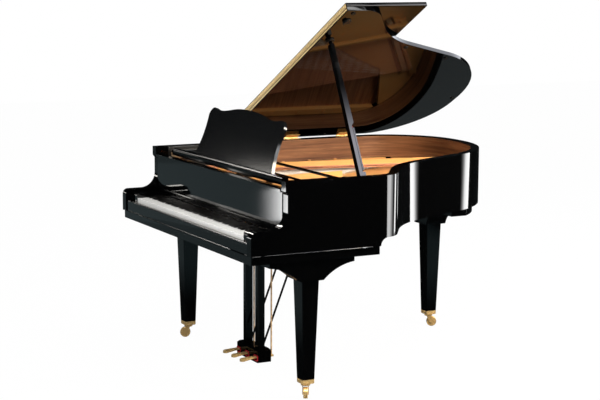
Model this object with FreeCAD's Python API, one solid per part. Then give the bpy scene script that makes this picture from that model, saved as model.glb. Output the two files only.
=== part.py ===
import FreeCAD, Part
import math
import os

V = FreeCAD.Vector
os.makedirs("parts", exist_ok=True)

# Case and rim, all sizes in millimetres; y runs from the keyboard to the tail
case_width = 1490.0
case_length = 1730.0
rim_thickness = 42.0
lining_thickness = 3.0
case_half = case_width / 2
inside_half = case_half - rim_thickness
lined_half = inside_half - lining_thickness
rim_top = 988.0
rim_low_front = 673.0
rim_low_back = 710.0
treble_straight_part = 0.3728
treble_straight = case_length * treble_straight_part
shoulder_radius = 140.0
shoulder_turn = 56.0
shoulder_straight = 120.0
waist_radius = 600.0
waist_turn = 32.0
waist_straight_part = 0.1908
waist_straight = case_length * waist_straight_part
tail_straight = 60.0
cut_margin = 20.0
edge_tolerance = 1.0

# Arms beside the keyboard
arm_top = 780.0
arm_nose_radius = 26.0
arm_flat_end = 100.0
arm_sweep_radius = 75.0
arm_cap_low = 945.0
arm_cap_step = 10.0
arm_cap_slope = 15.0

# Keybed, slip and cheeks
keybed_inset = 10.0
keybed_front = 6.0
keybed_back_margin = 4.0
keybed_back = treble_straight - keybed_back_margin
keybed_low = 634.0
slip_thickness = 20.0
slip_top = 727.0
key_block_top = 768.0
key_block_back = 165.0
key_block_round = 14.0

# Lining, inner rim, soundboard and framing
lining_low = 871.0
lining_high = 984.0
lining_front = 232.0
inner_rim_thickness = 50.0
soundboard_low = 835.0
soundboard_thickness = 8.0
soundboard_clearance = 0.4
belly_front = 458.0
belly_thickness = 30.0
brace_width = 70.0
brace_low = 716.0
brace_high = 786.0
brace_count = 4
brace_bays = 5.5
rib_width = 22.0
rib_height = 20.0
rib_count = 9
rib_slant = 40.0
rib_line_x = -case_half / 3

# Pin block, plate and stretcher
pin_block_front = 236.0
pin_block_back = 372.0
pin_block_low = 826.0
plate_low = 858.0
plate_thickness = 12.0
plate_inset = 48.0
plate_skirt = 34.0
bass_web_height = 14.0
web_end_margin = 8.0
strut_width = 10.0
treble_strut_low = 879.0
treble_strut_height = 26.0
bass_strut_low = 906.0
bass_strut_height = 24.0
bass_strut_offset = 16.0
strut_foot = 40.0
bolt_radius = 8.0
bolt_height = 7.0
bolt_count_side = 6
bolt_bays = 8
bolt_inset = 66.0
front_bolt_parts = (-0.39, 0.0, 0.39, 0.78)
front_bolt_radius = 4.0
stretcher_front = 200.0
stretcher_back = 228.0
stretcher_low = 868.0
stretcher_top = 945.0

# Keyboard
white_key_count = 52
whites_per_octave = 7
cheek_width = 90.29
keyboard_half = inside_half - cheek_width
octave_width = 2 * keyboard_half * whites_per_octave / white_key_count
white_front = 28.0
white_neck = 78.0
key_tail = 420.0
key_low = 724.0
key_top = 746.0
head_gap = 0.5
strip_gap = 0.8
sharp_front = 80.0
sharp_back = 170.0
sharp_base = 10.2
sharp_crown = 8.6
sharp_rake = 6.0
sharp_height = 13.0
sharp_stick_drop = 2.0
balance_y = 250.0

# Strings; notes are counted from 1 in the bass to 88 in the treble
bass_notes = 20
break_notes = (20, 44, 60, 75, 88)
note_count = break_notes[-1]
string_crowding = 0.9264
string_pitch = 2 * keyboard_half / note_count * string_crowding
treble_string_z = 876.0
bass_string_rise = 14.0
treble_string_radius = 0.5
bass_string_radius = 1.6
agraffe_front = 385.0
agraffe_shift = 27.0
shortest_string = 58.0
longest_treble_part = 0.611
longest_treble = case_length * longest_treble_part
treble_lean = 6.0
bass_from_spine = (345.0, 595.0)
bass_from_tail = (140.0, 295.0)
hitch_distance = 46.0
bridge_half = 12.0
bridge_relief = 2 * bridge_half
side_opening_drop = 6 * bridge_half
pocket_reach = 3 * bridge_half
bridge_gap = 0.3
bridge_note_step = 8
tuning_pin_radius = 3.4
tuning_pin_front = 262.0
tuning_pin_row = 24.0
tuning_pin_rows = 4
tuning_pin_seat = 12.0
tuning_pin_rise = 17.0
hitch_pin_radius = 2.0
pin_string_gap = 0.1
agraffe_bar = 8.0

# Action and dampers
hammer_pivot_y = 295.0
hammer_pivot_z = 816.0
strike_y = 428.0
hammer_drop = 19.0
hammer_width = 9.0
hammer_half_depth = 6.0
shank_radius = 2.8
shank_overrun = 3.5
hammer_rail_gap = 4.6
hammer_rail_depth = 22.0
hammer_rail_height = 22.0
hammer_rail_drop = 16.5
hammer_tail = 8.4
hammer_shoulder = 12.0
hammer_gap = 1.0
bracket_heel = 18.0
action_gap = 0.2
action_side_gap = 0.71
action_half = keyboard_half - action_side_gap
rail_gap = 0.3
front_rail = (32.0, 70.0)
front_rail_top = 711.0
balance_half = 14.0
balance_bead = 4.0
balance_top = 715.0
back_rail = (400.0, 428.0)
sill_width = 32.0
sill_top = 690.0
bracket_thickness = 6.0
bracket_low = 757.0
bracket_leg = 421.0
damper_last = 68
damper_front = 436.0
damper_back = 478.0
damper_height = 13.0
damper_half_treble = 3.6
damper_half_bass = 5.0
damper_wire_y = 453.0
damper_wire_radius = 1.0
damper_wire_gap = 0.6
damper_seat_gap = 0.3
damper_bar = (448.0, 457.6)
damper_bar_low = 790.0
damper_bar_top = 800.0
action_shift = 2.5
cheek_gap = 1.8

# Fallboard
fallboard_side_gap = 6.0
fallboard_half = inside_half - fallboard_side_gap
fallboard_front = 172.0
fallboard_thickness = 18.0
fallboard_low = 778.0
fallboard_top = 951.0
fallboard_lip = 10.0
fallboard_lip_height = 13.0
fallboard_pivot_depth = 6.0
fallboard_pivot_z = 790.0
fallboard_pin_radius = 5.0
fallboard_pin_length = 12.0
pivot_clearance = 0.05

# Music desk
desk_rail_width = 45.0
desk_rail_front = 250.0
desk_rail_margin = 93.0
desk_rail_back = treble_straight - desk_rail_margin
desk_rail_low = 930.0
desk_rail_top = 954.8
tray_low = 955.0
tray_side_gap = 28.0
tray_wing = 72.0
tray_outer = lined_half - tray_side_gap
tray_inner = tray_outer - tray_wing
tray_back_margin = 12.0
tray_back = desk_rail_back - tray_back_margin
tray_side_top = 973.0
tray_bar = 25.0
tray_bar_top = 962.0
tray_lip_overlap = 6.0
tray_lip_half = tray_inner + tray_lip_overlap
tray_lip_front = 214.0
tray_lip_back = 250.0
tray_lip_top = 987.0
tray_lip_round = 10.0
panel_pivot_y = 262.0
panel_pivot_z = 971.0
panel_thickness = 16.0
panel_raise = 70.0
panel_side_gap = 189.71
panel_foot_half = keyboard_half - panel_side_gap
panel_waist_in = 27.0
panel_waist_half = panel_foot_half - panel_waist_in
panel_waist_height = 130.0
panel_ear_in = 18.0
panel_ear_half = panel_foot_half - panel_ear_in
panel_ear_height = 212.0
panel_crest_in = 78.0
panel_crest_half = panel_foot_half - panel_crest_in
panel_crest_height = 248.0
panel_dip_in = 173.0
panel_dip_half = panel_foot_half - panel_dip_in
panel_dip_height = 243.0
panel_crown_height = 268.0
panel_pin_radius = 3.0
panel_pin_length = 10.0
panel_lug = 10.0
panel_edge_gap = 0.1
stay_pivot_y = 362.0
stay_pivot_z = 958.5
stay_length = 138.0
stay_thickness = 8.0
stay_half = 60.0
stay_raise = 109.9
stay_pin_radius = 2.5
stay_lug = 10.0
stay_round = 3.8
stay_side_gap = 0.4

# Lid, flap and their hinges
lid_gap = 4.0
lid_thickness = 20.0
lid_overhang = 6.0
lid_front_margin = 86.3
lid_front = treble_straight - lid_front_margin
lid_open_angle = 28.4
lid_axis_out = 4.0
flap_depth = 420.0
flap_gap = 1.0
leaf_thickness = 1.6
butt_leaf_half = 40.0
butt_leaf_width = 36.0
butt_knuckle_radius = 3.5
butt_knuckle_half = 14.0
butt_knuckle_gap = 0.3
butt_pin_radius = 1.5
butt_count = 3
butt_first = 81.4
butt_pitch_part = 0.269
butt_pitch = (case_length - lid_front) * butt_pitch_part
strip_leaf = 1.2
strip_margin = 5.0
strip_knuckle = 1.2
strip_axis_gap = 0.2
cup_radius = 20.0
cup_thickness = 6.0
cup_wall = 4.0
cup_wall_height = 5.0
cup_from_side = (295.0, 99.0)
cup_from_front = (55.4, 47.4)
bumper_radius = 11.0
bumper_gap = 0.3
bumper_skip_count = 4
bumper_count = 3
bumper_front_gap = 41.4

# Lid props
prop_rim_gap = 36.0
prop_front_gap = 36.4
prop_drop = 50.0
prop_base = V(lined_half - prop_rim_gap, lid_front + prop_front_gap, rim_top - prop_drop)
prop_half_depth = 15.0
prop_foot = 20.0
prop_foot_half = 16.0
prop_notch_low = 60.0
prop_notch_high = 300.0
prop_notch_edge = 2.0
prop_shoulder_half = 14.0
prop_tip_half = 9.0
prop_nose_radius = 8.0
prop_nose_length = 16.0
prop_tip_gap = 0.5
prop_fold_heading = 42.0
prop_pin_radius = 5.0
prop_boss_radius = 11.0
prop_boss_start = 22.0
bracket_plate = 6.0
bracket_plate_start = 8.0
bracket_plate_length = 41.0
bracket_plate_drop = 8.0
bracket_plate_height = 56.0
catch_start = 95.0
catch_length = 26.0
catch_drop = 12.0
catch_height = 32.0
catch_depth = 44.0
short_prop_width = 10.0
short_prop_low = 66.0
short_prop_length = 210.0
short_prop_gap = 0.6
short_prop_pivot = 84.0
short_prop_pin = 3.0

# Legs, casters and leg blocks
leg_from_side = 95.0
leg_x = case_half - leg_from_side
leg_y = 315.5
rear_leg_from_spine = 430.0
rear_leg_from_tail = 170.0
rear_leg_x = rear_leg_from_spine - case_half
rear_leg_y = case_length - rear_leg_from_tail
leg_low = 86.0
leg_top = 538.0
rear_leg_top = 556.0
leg_foot_side = 58.0
leg_head_side = 84.0
block_inner_half = 61.0
block_flat_margin = 14.0
block_front_reach = 210.0
block_edge = 24.0
block_sag = 16.0
tail_plate_inset = 30.0
tail_plate_reach = 160.0
tail_plate_front = rear_leg_y - tail_plate_reach
tail_plate_low = 664.0
tail_plate_width = 455.0
tail_plate_right = rear_leg_x + tail_plate_width
tail_board_half = 175.0
tail_board_low = 620.0
tail_board_half_depth = 85.0
ferrule_side = 57.0
ferrule_low = 66.0
ferrule_chamfer = 3.0
swivel_radius = 6.0
swivel_length = 14.0
swivel_plate_radius = 21.0
swivel_plate_low = 57.0
swivel_gap = 0.3
wheel_radius = 26.0
wheel_width = 20.0
wheel_trail = 16.0
wheel_crown = 3.0
axle_radius = 4.0
fork_gap = 0.4
fork_cheek = 4.0
fork_half = 11.0
fork_toe_half = 6.6
fork_toe_drop = 7.7
caster_headings = {"front_left": 210.0, "front_right": 118.0, "rear": 27.5}

# Lyre and pedals
lyre_x = 20.0
lyre_y = 366.0
box_width = 225.0
box_depth = 72.0
box_low = 36.0
box_high = 102.0
box_wall = 8.0
box_chamfer = 9.0
post_side = 38.0
post_pitch = 129.0
post_chamfer = 6.0
top_block_low = 612.0
top_block_half = 150.0
top_block_front = 334.0
top_block_back = 500.0
lyre_brace_radius = 5.0
lyre_brace_top_y = 590.0
lyre_brace_low_z = 112.0
pedal_pitch = 94.0
pedal_tip_y = 247.0
pedal_pivot_y = 368.0
pedal_pivot_z = 62.0
pedal_tail_y = 420.0
pedal_neck_half = 9.0
pedal_toe_half = 14.0
pedal_thickness = 9.0
pedal_droop = 8.0
pedal_pin_radius = 4.0
pedal_slot_side = 2.0
pedal_slot_low = 46.0
pedal_slot_high = 84.0
rod_y = 412.0
rod_radius = 4.0
rod_gap = 0.5
trap_pivot_y = 470.0
trap_pivot_z = 592.0
trap_pin_radius = 4.0
trap_half = 11.0
trap_thickness = 16.0
trap_back = 570.0
trap_front = 402.0
trap_cheek = 10.0

nodes = {}


def add(name, *solids):
    nodes[name] = solids[0] if len(solids) == 1 else Part.makeCompound(list(solids))


def box(x0, x1, y0, y1, z0, z1):
    return Part.makeBox(x1 - x0, y1 - y0, z1 - z0, V(x0, y0, z0))


def rod(radius, start, end):
    way = end - start
    return Part.makeCylinder(radius, way.Length, start, way)


def line(a, b):
    return Part.LineSegment(a, b).toShape()


def arc(a, middle, b):
    return Part.Arc(a, middle, b).toShape()


def prism(edges, way):
    return Part.Face(Part.Wire(edges)).extrude(way)


def polygon(points, way):
    ring = Part.makePolygon(list(points) + [points[0]])
    return Part.Face(ring).extrude(way)


def mirror_x(solid):
    return solid.mirror(V(0, 0, 0), V(1, 0, 0))


def turned(solid, centre, axis, angle):
    copy = solid.copy()
    copy.rotate(centre, axis, angle)
    return copy


# Case outline: straights and arcs walked from the treble arm round the tail to the spine
def way_of(turn):
    return V(-math.sin(math.radians(turn)), math.cos(math.radians(turn)), 0)


def inward(turn):
    return V(-math.cos(math.radians(turn)), -math.sin(math.radians(turn)), 0)


def walk_outline(front):
    steps = [(V(case_width / 2, front, 0), 0.0, None)]

    def straight(end, turn):
        steps.append((end, turn, None))

    def bend(radius, turn_to, side):
        place, turn, _ = steps[-1]
        half = (turn + turn_to) / 2
        middle = place + (inward(turn) - inward(half)) * (radius * side)
        steps.append((place + (inward(turn) - inward(turn_to)) * (radius * side), turn_to,
                      (middle, half)))

    straight(V(case_width / 2, treble_straight, 0), 0.0)
    bend(shoulder_radius, shoulder_turn, 1)
    straight(steps[-1][0] + way_of(shoulder_turn) * shoulder_straight, shoulder_turn)
    slant = shoulder_turn - waist_turn
    bend(waist_radius, slant, -1)
    straight(steps[-1][0] + way_of(slant) * waist_straight, slant)
    tail_radius = (case_length - steps[-1][0].y) / (1 - math.sin(math.radians(slant)))
    bend(tail_radius, 90.0, 1)
    straight(steps[-1][0] + way_of(90.0) * tail_straight, 90.0)
    bend(steps[-1][0].x + case_width / 2, 180.0, 1)
    straight(V(-case_width / 2, front, 0), 180.0)
    return steps


def case_prism(inset, front, low, high):
    lift = V(0, 0, low)
    steps = walk_outline(front)
    edges = []
    for (a, turn_a, _), (b, turn_b, bend) in zip(steps, steps[1:]):
        start = a + inward(turn_a) * inset + lift
        end = b + inward(turn_b) * inset + lift
        if bend is None:
            edges.append(line(start, end))
        else:
            edges.append(arc(start, bend[0] + inward(bend[1]) * inset + lift, end))
    first = steps[0][0] + inward(0.0) * inset + lift
    last = steps[-1][0] + inward(180.0) * inset + lift
    edges.append(line(last, first))
    return prism(edges, V(0, 0, high - low))


def ring_prism(outer, inner, front, low, high):
    hollow = case_prism(inner, front - cut_margin, low - cut_margin, high + cut_margin)
    return case_prism(outer, front, low, high).cut(hollow)


across = V(2 * case_width, 0, 0)
left_far = -case_width


# Outer rim, with the arms cut down beside the keys and the lower edge stepped up behind the keybed
def arm_cut():
    nose = V(left_far, 0, arm_top - arm_nose_radius)
    nose_in = arm_nose_radius * (1 - math.sqrt(0.5))
    nose_mid = V(left_far, nose_in, arm_top - nose_in)
    nose_top = V(left_far, arm_nose_radius, arm_top)
    flat_end = V(left_far, arm_flat_end, arm_top)
    sweep_mid = V(left_far, arm_flat_end + arm_sweep_radius * math.sqrt(0.5),
                  arm_top + arm_sweep_radius * (1 - math.sqrt(0.5)))
    sweep_end = V(left_far, arm_flat_end + arm_sweep_radius, arm_top + arm_sweep_radius)
    cap_low = V(left_far, sweep_end.y, arm_cap_low - arm_cap_slope)
    cap_front = V(left_far, sweep_end.y - arm_cap_step, arm_cap_low)
    cap_top = V(left_far, cap_front.y, rim_top + cut_margin)
    corner = V(left_far, -cut_margin, rim_top + cut_margin)
    below = V(left_far, -cut_margin, nose.z)
    edges = [line(nose, below), line(below, corner), line(corner, cap_top), line(cap_top, cap_front),
             line(cap_front, cap_low), line(cap_low, sweep_end), arc(sweep_end, sweep_mid, flat_end),
             line(flat_end, nose_top), arc(nose_top, nose_mid, nose)]
    return prism(edges, across)


def step_cut():
    rise = rim_low_back - rim_low_front
    start = V(left_far, keybed_back, rim_low_front)
    middle = V(left_far, keybed_back + rise * (1 - math.sqrt(0.5)), rim_low_front + rise * math.sqrt(0.5))
    top = V(left_far, keybed_back + rise, rim_low_back)
    far = V(left_far, case_length + cut_margin, rim_low_back)
    far_low = V(left_far, far.y, rim_low_front - cut_margin)
    near_low = V(left_far, keybed_back, far_low.z)
    edges = [arc(start, middle, top), line(top, far), line(far, far_low), line(far_low, near_low),
             line(near_low, start)]
    return prism(edges, across)


fallboard_pivot_y = fallboard_front + fallboard_pivot_depth
fallboard_axis = V(0, fallboard_pivot_y, fallboard_pivot_z)
pin_reach = fallboard_half + fallboard_pin_length
rim = ring_prism(0, rim_thickness, 0, rim_low_front, rim_top).cut(arm_cut()).cut(step_cut())
pin_hole = rod(fallboard_pin_radius + pivot_clearance,
               fallboard_axis - V(pin_reach + pivot_clearance, 0, 0),
               fallboard_axis + V(pin_reach + pivot_clearance, 0, 0))
add("outer_rim", rim.cut(pin_hole))

lining = ring_prism(rim_thickness, rim_thickness + lining_thickness, lining_front, lining_low,
                    lining_high)
add("rim_lining", lining)

inner_ring = ring_prism(rim_thickness, rim_thickness + inner_rim_thickness, 0, rim_low_back,
                        soundboard_low)
belly_back = belly_front + belly_thickness
add("inner_rim", inner_ring.cut(box(left_far, case_width, -case_width, belly_back, 0, rim_top)))

# Keybed, slip and cheek blocks
keybed_half = case_half - keybed_inset
add("keybed", box(-keybed_half, keybed_half, keybed_front, keybed_back, keybed_low, rim_low_front))
slip_back = keybed_front + slip_thickness
add("key_slip", box(-inside_half, inside_half, keybed_front, slip_back, rim_low_front, slip_top))

cheek_clearance = action_shift + cheek_gap
cheek = box(keyboard_half + cheek_clearance, inside_half, slip_back, key_block_back, rim_low_front,
            key_block_top)
front_edges = [e for e in cheek.Edges
               if abs(e.BoundBox.YMax - slip_back) < edge_tolerance and e.BoundBox.ZMin > slip_top]
cheek = cheek.makeFillet(key_block_round, front_edges)
add("key_blocks", cheek, mirror_x(cheek))

add("stretcher",
    box(-inside_half, inside_half, stretcher_front, stretcher_back, stretcher_low, stretcher_top))

# Soundboard on the inner rim and belly rail, ribs under it, braces across the open bottom
soundboard_top = soundboard_low + soundboard_thickness
soundboard = case_prism(rim_thickness + soundboard_clearance, belly_front, soundboard_low, soundboard_top)
add("soundboard", soundboard)

hollow_inset = rim_thickness + inner_rim_thickness
hollow = case_prism(hollow_inset, belly_back, rim_low_back, soundboard_low)
ribs = []
for index in range(rib_count):
    place = belly_back + (index + 1) * (case_length - belly_back) / (rib_count + 1)
    bar = box(-case_width, case_width, -rib_width / 2, rib_width / 2, soundboard_low - rib_height,
              soundboard_low)
    bar = turned(bar, V(0, 0, 0), V(0, 0, 1), rib_slant)
    bar.translate(V(rib_line_x, place, 0))
    ribs.extend(bar.common(hollow).Solids)
add("soundboard_ribs", *ribs)

belly = box(-inside_half, inside_half, belly_front, belly_back, rim_low_front, soundboard_low)
braces = [belly]
for index in range(brace_count):
    place = -case_half + (index + 1) * case_width / brace_bays
    bar = box(place - brace_width / 2, place + brace_width / 2, belly_back, case_length, brace_low,
              brace_high)
    braces.extend(bar.common(hollow).Solids)
add("case_braces", *braces)


# String plan: where each note's string starts, crosses the agraffe line, meets its bridge and is hitched
semitones = 12
key_pitch = octave_width / semitones
treble_steps = note_count - bass_notes - 1
treble_doublings = math.log2(longest_treble / shortest_string)
bass_first_end = V(bass_from_spine[0] - case_half, case_length - bass_from_tail[0], 0)
bass_last_end = V(bass_from_spine[1] - case_half, case_length - bass_from_tail[1], 0)


def section_of(note):
    high = min(last for last in break_notes if note <= last)
    lower = [last for last in break_notes if last < high]
    return max(lower, default=0), high


def string_x(note):
    low, high = section_of(note)
    middle = (low + high) / 2
    keys_middle = -keyboard_half + middle * 2 * keyboard_half / note_count
    return keys_middle + (note - 0.5 - middle) * string_pitch


def treble_share(note):
    return (note - bass_notes) / (note_count - bass_notes)


def agraffe_y(note):
    return agraffe_front + agraffe_shift * max(0.0, treble_share(note))


def speaking_length(note):
    return shortest_string * 2 ** (treble_doublings * (note_count - note) / treble_steps)


def bridge_point(note):
    if note <= bass_notes:
        share = (note - 1) / (bass_notes - 1)
        return bass_first_end + (bass_last_end - bass_first_end) * share
    lean = math.tan(math.radians(treble_lean * (1 - treble_share(note))))
    reach = speaking_length(note)
    return V(string_x(note) - lean * reach, agraffe_y(note) + reach, 0)


def string_at(note, y):
    near = V(string_x(note), agraffe_y(note), 0)
    far = bridge_point(note)
    return V(near.x + (far.x - near.x) * (y - near.y) / (far.y - near.y), y, 0)


def hitch_point(note):
    return string_at(note, bridge_point(note).y + hitch_distance)


def string_z(note):
    return treble_string_z + (bass_string_rise if note <= bass_notes else 0.0)


def string_radius(note):
    return bass_string_radius if note <= bass_notes else treble_string_radius


def pin_y(note):
    return tuning_pin_front + tuning_pin_row * (note % tuning_pin_rows)


strings = {"bass_strings": [], "treble_strings": []}
pins = []
for note in range(1, note_count + 1):
    radius = string_radius(note)
    height = V(0, 0, string_z(note))
    start = string_at(note, pin_y(note)) + height
    hitch = hitch_point(note)
    end = string_at(note, hitch.y - hitch_pin_radius - pin_string_gap) + height
    group = "bass_strings" if note <= bass_notes else "treble_strings"
    strings[group].append(rod(radius, start, end))
    web_top = plate_low + plate_thickness + (bass_web_height if note <= bass_notes else 0.0)
    beside = V(tuning_pin_radius + radius + pin_string_gap, 0, 0)
    pin_foot = V(start.x, start.y, plate_low - tuning_pin_seat) + beside
    pins.append(rod(tuning_pin_radius, pin_foot, V(pin_foot.x, pin_foot.y, web_top + tuning_pin_rise)))
    hitch_top = V(0, 0, string_z(note) + 2 * bass_string_radius)
    pins.append(rod(hitch_pin_radius, hitch + V(0, 0, plate_low + plate_thickness / 2),
                    hitch + hitch_top))
for group, wires in strings.items():
    add(group, *wires)
add("string_pins", *pins)


# Bridges: a curved treble bridge and a straight bass bridge standing on the soundboard
def bridge_side(offset, height):
    points = []
    for note in list(range(note_count, bass_notes, -bridge_note_step)) + [bass_notes + 1]:
        here = bridge_point(note)
        ahead = bridge_point(max(bass_notes + 1, note - 1)) if note > bass_notes + 1 else here
        behind = bridge_point(min(note_count, note + 1))
        slope = (ahead - behind).normalize()
        points.append(here + V(-slope.y, slope.x, 0) * offset + V(0, 0, height))
    return points


def curve(points):
    spline = Part.BSplineCurve()
    spline.interpolate(points)
    return spline.toShape()


def strip_between(side_a, side_b, way):
    edges = [curve(side_a), line(side_a[-1], side_b[-1]), curve(side_b), line(side_b[0], side_a[0])]
    return Part.Face(Part.Wire(Part.__sortEdges__(edges))).extrude(way)


treble_bridge_top = treble_string_z - treble_string_radius - bridge_gap
bass_bridge_top = treble_string_z + bass_string_rise - bass_string_radius - bridge_gap
treble_bridge = strip_between(bridge_side(-bridge_half, soundboard_top),
                              bridge_side(bridge_half, soundboard_top),
                              V(0, 0, treble_bridge_top - soundboard_top))
bass_way = (bridge_point(bass_notes) - bridge_point(1)).normalize()
bass_side = V(-bass_way.y, bass_way.x, 0) * bridge_half
bass_low = bridge_point(1) - bass_way * bridge_half + V(0, 0, soundboard_top)
bass_high = bridge_point(bass_notes) + bass_way * bridge_half + V(0, 0, soundboard_top)
bass_bridge = polygon([bass_low - bass_side, bass_high - bass_side, bass_high + bass_side,
                       bass_low + bass_side],
                      V(0, 0, bass_bridge_top - soundboard_top))
add("bridges", treble_bridge, bass_bridge)


# Cast iron plate: one web with a skirt on the soundboard's edge, open over the soundboard, with struts
def strut(near, far, low, height):
    half = V(strut_width / 2, 0, 0)
    step = (far - near).normalize() * strut_foot
    pieces = []
    for a, b, z, rise in ((near, far, low, height), (near, near + step, plate_low, low - plate_low),
                          (far - step, far, plate_low, low - plate_low)):
        lift = V(0, 0, z)
        pieces.append(polygon([a - half + lift, a + half + lift, b + half + lift, b - half + lift],
                              V(0, 0, rise)))
    return pieces


def plate_shape():
    top = plate_low + plate_thickness
    web = case_prism(plate_inset, pin_block_front, plate_low, top)
    skirt = ring_prism(plate_inset, plate_inset + plate_skirt, belly_back, soundboard_top, plate_low)
    skirt = skirt.cut(box(left_far, case_width, -case_width, belly_back, 0, rim_top))
    web = web.fuse(skirt)
    floor_z = plate_low - cut_margin
    left_edge = -case_half + plate_inset + plate_skirt
    rear = [p + V(0, 0, floor_z) for p in bridge_side(-bridge_relief, 0)]
    front_right = V(string_x(note_count) + string_pitch, agraffe_y(note_count) + agraffe_bar, floor_z)
    front_left = V(left_edge, agraffe_front + agraffe_bar, floor_z)
    side_top = V(left_edge, bridge_point(1).y - side_opening_drop, floor_z)
    edges = [curve(rear), line(rear[-1], side_top), line(side_top, front_left),
             line(front_left, front_right),
             line(front_right, rear[0])]
    opening = Part.Face(Part.Wire(Part.__sortEdges__(edges))).extrude(V(0, 0,
                                                                        plate_thickness + 2 * cut_margin))
    web = web.cut(opening)
    pocket_side = bass_side * (pocket_reach / bridge_half)
    relief_side = bass_side * (bridge_relief / bridge_half)
    pocket_low = bass_low - bass_way * bridge_relief
    pocket_high = bass_high + bass_way * bridge_relief
    pocket = polygon([pocket_low - pocket_side, pocket_high - pocket_side, pocket_high + relief_side,
                      pocket_low + relief_side], V(0, 0, plate_thickness + 2 * cut_margin))
    pocket.translate(V(0, 0, floor_z - soundboard_top))
    web = web.cut(pocket)
    bass_right = (string_x(bass_notes) + string_x(bass_notes + 1)) / 2
    bass_web = box(-case_half + plate_inset + web_end_margin, bass_right - strut_width,
                   pin_block_front + web_end_margin,
                   agraffe_front + agraffe_bar, top, top + bass_web_height)
    web = web.fuse(bass_web)
    web = web.fuse(box(string_x(1) - string_pitch, bass_right - strut_width, agraffe_front,
                       agraffe_front + agraffe_bar,
                       top, bass_bridge_top))
    bar_left = V(string_x(bass_notes + 1) - strut_width, agraffe_y(bass_notes + 1), top)
    bar_right = V(string_x(note_count) + strut_width, agraffe_y(note_count), top)
    bar_depth = V(0, agraffe_bar, 0)
    agraffes = polygon([bar_left, bar_right, bar_right + bar_depth, bar_left + bar_depth],
                       V(0, 0, treble_bridge_top - top))
    web = web.fuse(agraffes)
    shelf_start = V(0, hitch_distance / 2 + bridge_half / 2, top)
    shelf_low = bridge_point(1) - bass_way * pocket_reach + shelf_start
    shelf_high = bridge_point(bass_notes) + bass_way * pocket_reach + shelf_start
    shelf_depth = V(0, hitch_distance, 0)
    shelf = polygon([shelf_low, shelf_high, shelf_high + shelf_depth, shelf_low + shelf_depth],
                    V(0, 0, bass_web_height))
    web = web.fuse(shelf.common(case_prism(plate_inset, pin_block_front, top, top + bass_web_height)))
    for low_note in break_notes[1:-1]:
        near_y = agraffe_y(low_note) - strut_foot
        far_y = hitch_point(low_note).y + strut_foot
        near = (string_at(low_note, near_y) + string_at(low_note + 1, near_y)) * 0.5
        far = (string_at(low_note, far_y) + string_at(low_note + 1, far_y)) * 0.5
        web = web.fuse(strut(near, far, treble_strut_low, treble_strut_height))
    near = string_at(bass_notes, agraffe_front - strut_foot) + V(bass_strut_offset, 0, 0)
    far = hitch_point(bass_notes) + V(bass_strut_offset, strut_foot, 0)
    web = web.fuse(strut(near, far, bass_strut_low, bass_strut_height))
    return web.removeSplitter()


plate = plate_shape()
add("iron_plate", plate)
add("pin_block",
    box(-inside_half, inside_half, pin_block_front, pin_block_back, pin_block_low, plate_low))

plate_top = plate_low + plate_thickness
bolts = []
for index in range(bolt_count_side):
    y = belly_back + (index + 0.5) * (case_length - belly_back) / bolt_bays
    foot = V(-case_half + bolt_inset, y, plate_top)
    bolts.append(rod(bolt_radius, foot, foot + V(0, 0, bolt_height)))
for part in front_bolt_parts:
    foot = V(keyboard_half * part, pin_block_front + web_end_margin, plate_top)
    bolts.append(rod(front_bolt_radius, foot, foot + V(0, 0, bolt_height)))
add("plate_bolts", *bolts)

# Keys
white_width = octave_width / whites_per_octave
white_steps = (0, 2, 4, 5, 7, 9, 11)
first_semitone = 9
first_white = 5


def key_strip(note):
    semitone = first_semitone + note - 1
    left = -keyboard_half - first_white * white_width + semitone * key_pitch
    return left + strip_gap, left + key_pitch - strip_gap


whites = []
blacks = []
white_index = 0
for note in range(1, note_count + 1):
    s0, s1 = key_strip(note)
    if (first_semitone + note - 1) % semitones in white_steps:
        x0 = -keyboard_half + white_index * white_width + head_gap
        x1 = x0 + white_width - 2 * head_gap
        white_index += 1
        ring = [V(x0, white_front, key_low), V(x1, white_front, key_low), V(x1, white_neck, key_low),
                V(s1, white_neck, key_low), V(s1, key_tail, key_low), V(s0, key_tail, key_low),
                V(s0, white_neck, key_low), V(x0, white_neck, key_low)]
        whites.append(polygon(ring, V(0, 0, key_top - key_low)))
    else:
        middle = (s0 + s1) / 2
        stick_top = key_top - sharp_stick_drop
        stick = box(s0, s1, sharp_front + head_gap, key_tail, key_low, stick_top)
        base = Part.makePolygon([V(middle - sharp_base / 2, sharp_front, stick_top),
                                 V(middle + sharp_base / 2, sharp_front, stick_top),
                                 V(middle + sharp_base / 2, sharp_back, stick_top),
                                 V(middle - sharp_base / 2, sharp_back, stick_top),
                                 V(middle - sharp_base / 2, sharp_front, stick_top)])
        crown_z = stick_top + sharp_height
        crown = Part.makePolygon([V(middle - sharp_crown / 2, sharp_front + sharp_rake, crown_z),
                                  V(middle + sharp_crown / 2, sharp_front + sharp_rake, crown_z),
                                  V(middle + sharp_crown / 2, sharp_back, crown_z),
                                  V(middle - sharp_crown / 2, sharp_back, crown_z),
                                  V(middle - sharp_crown / 2, sharp_front + sharp_rake, crown_z)])
        blacks.append(stick.fuse(Part.makeLoft([base, crown], True, True)))
add("white_keys", *whites)
add("black_keys", *blacks)


# Action: key frame with three rails, brackets at the string breaks, hammer rail
def break_x(low_note):
    return (string_x(low_note) + string_x(low_note + 1)) / 2


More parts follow.
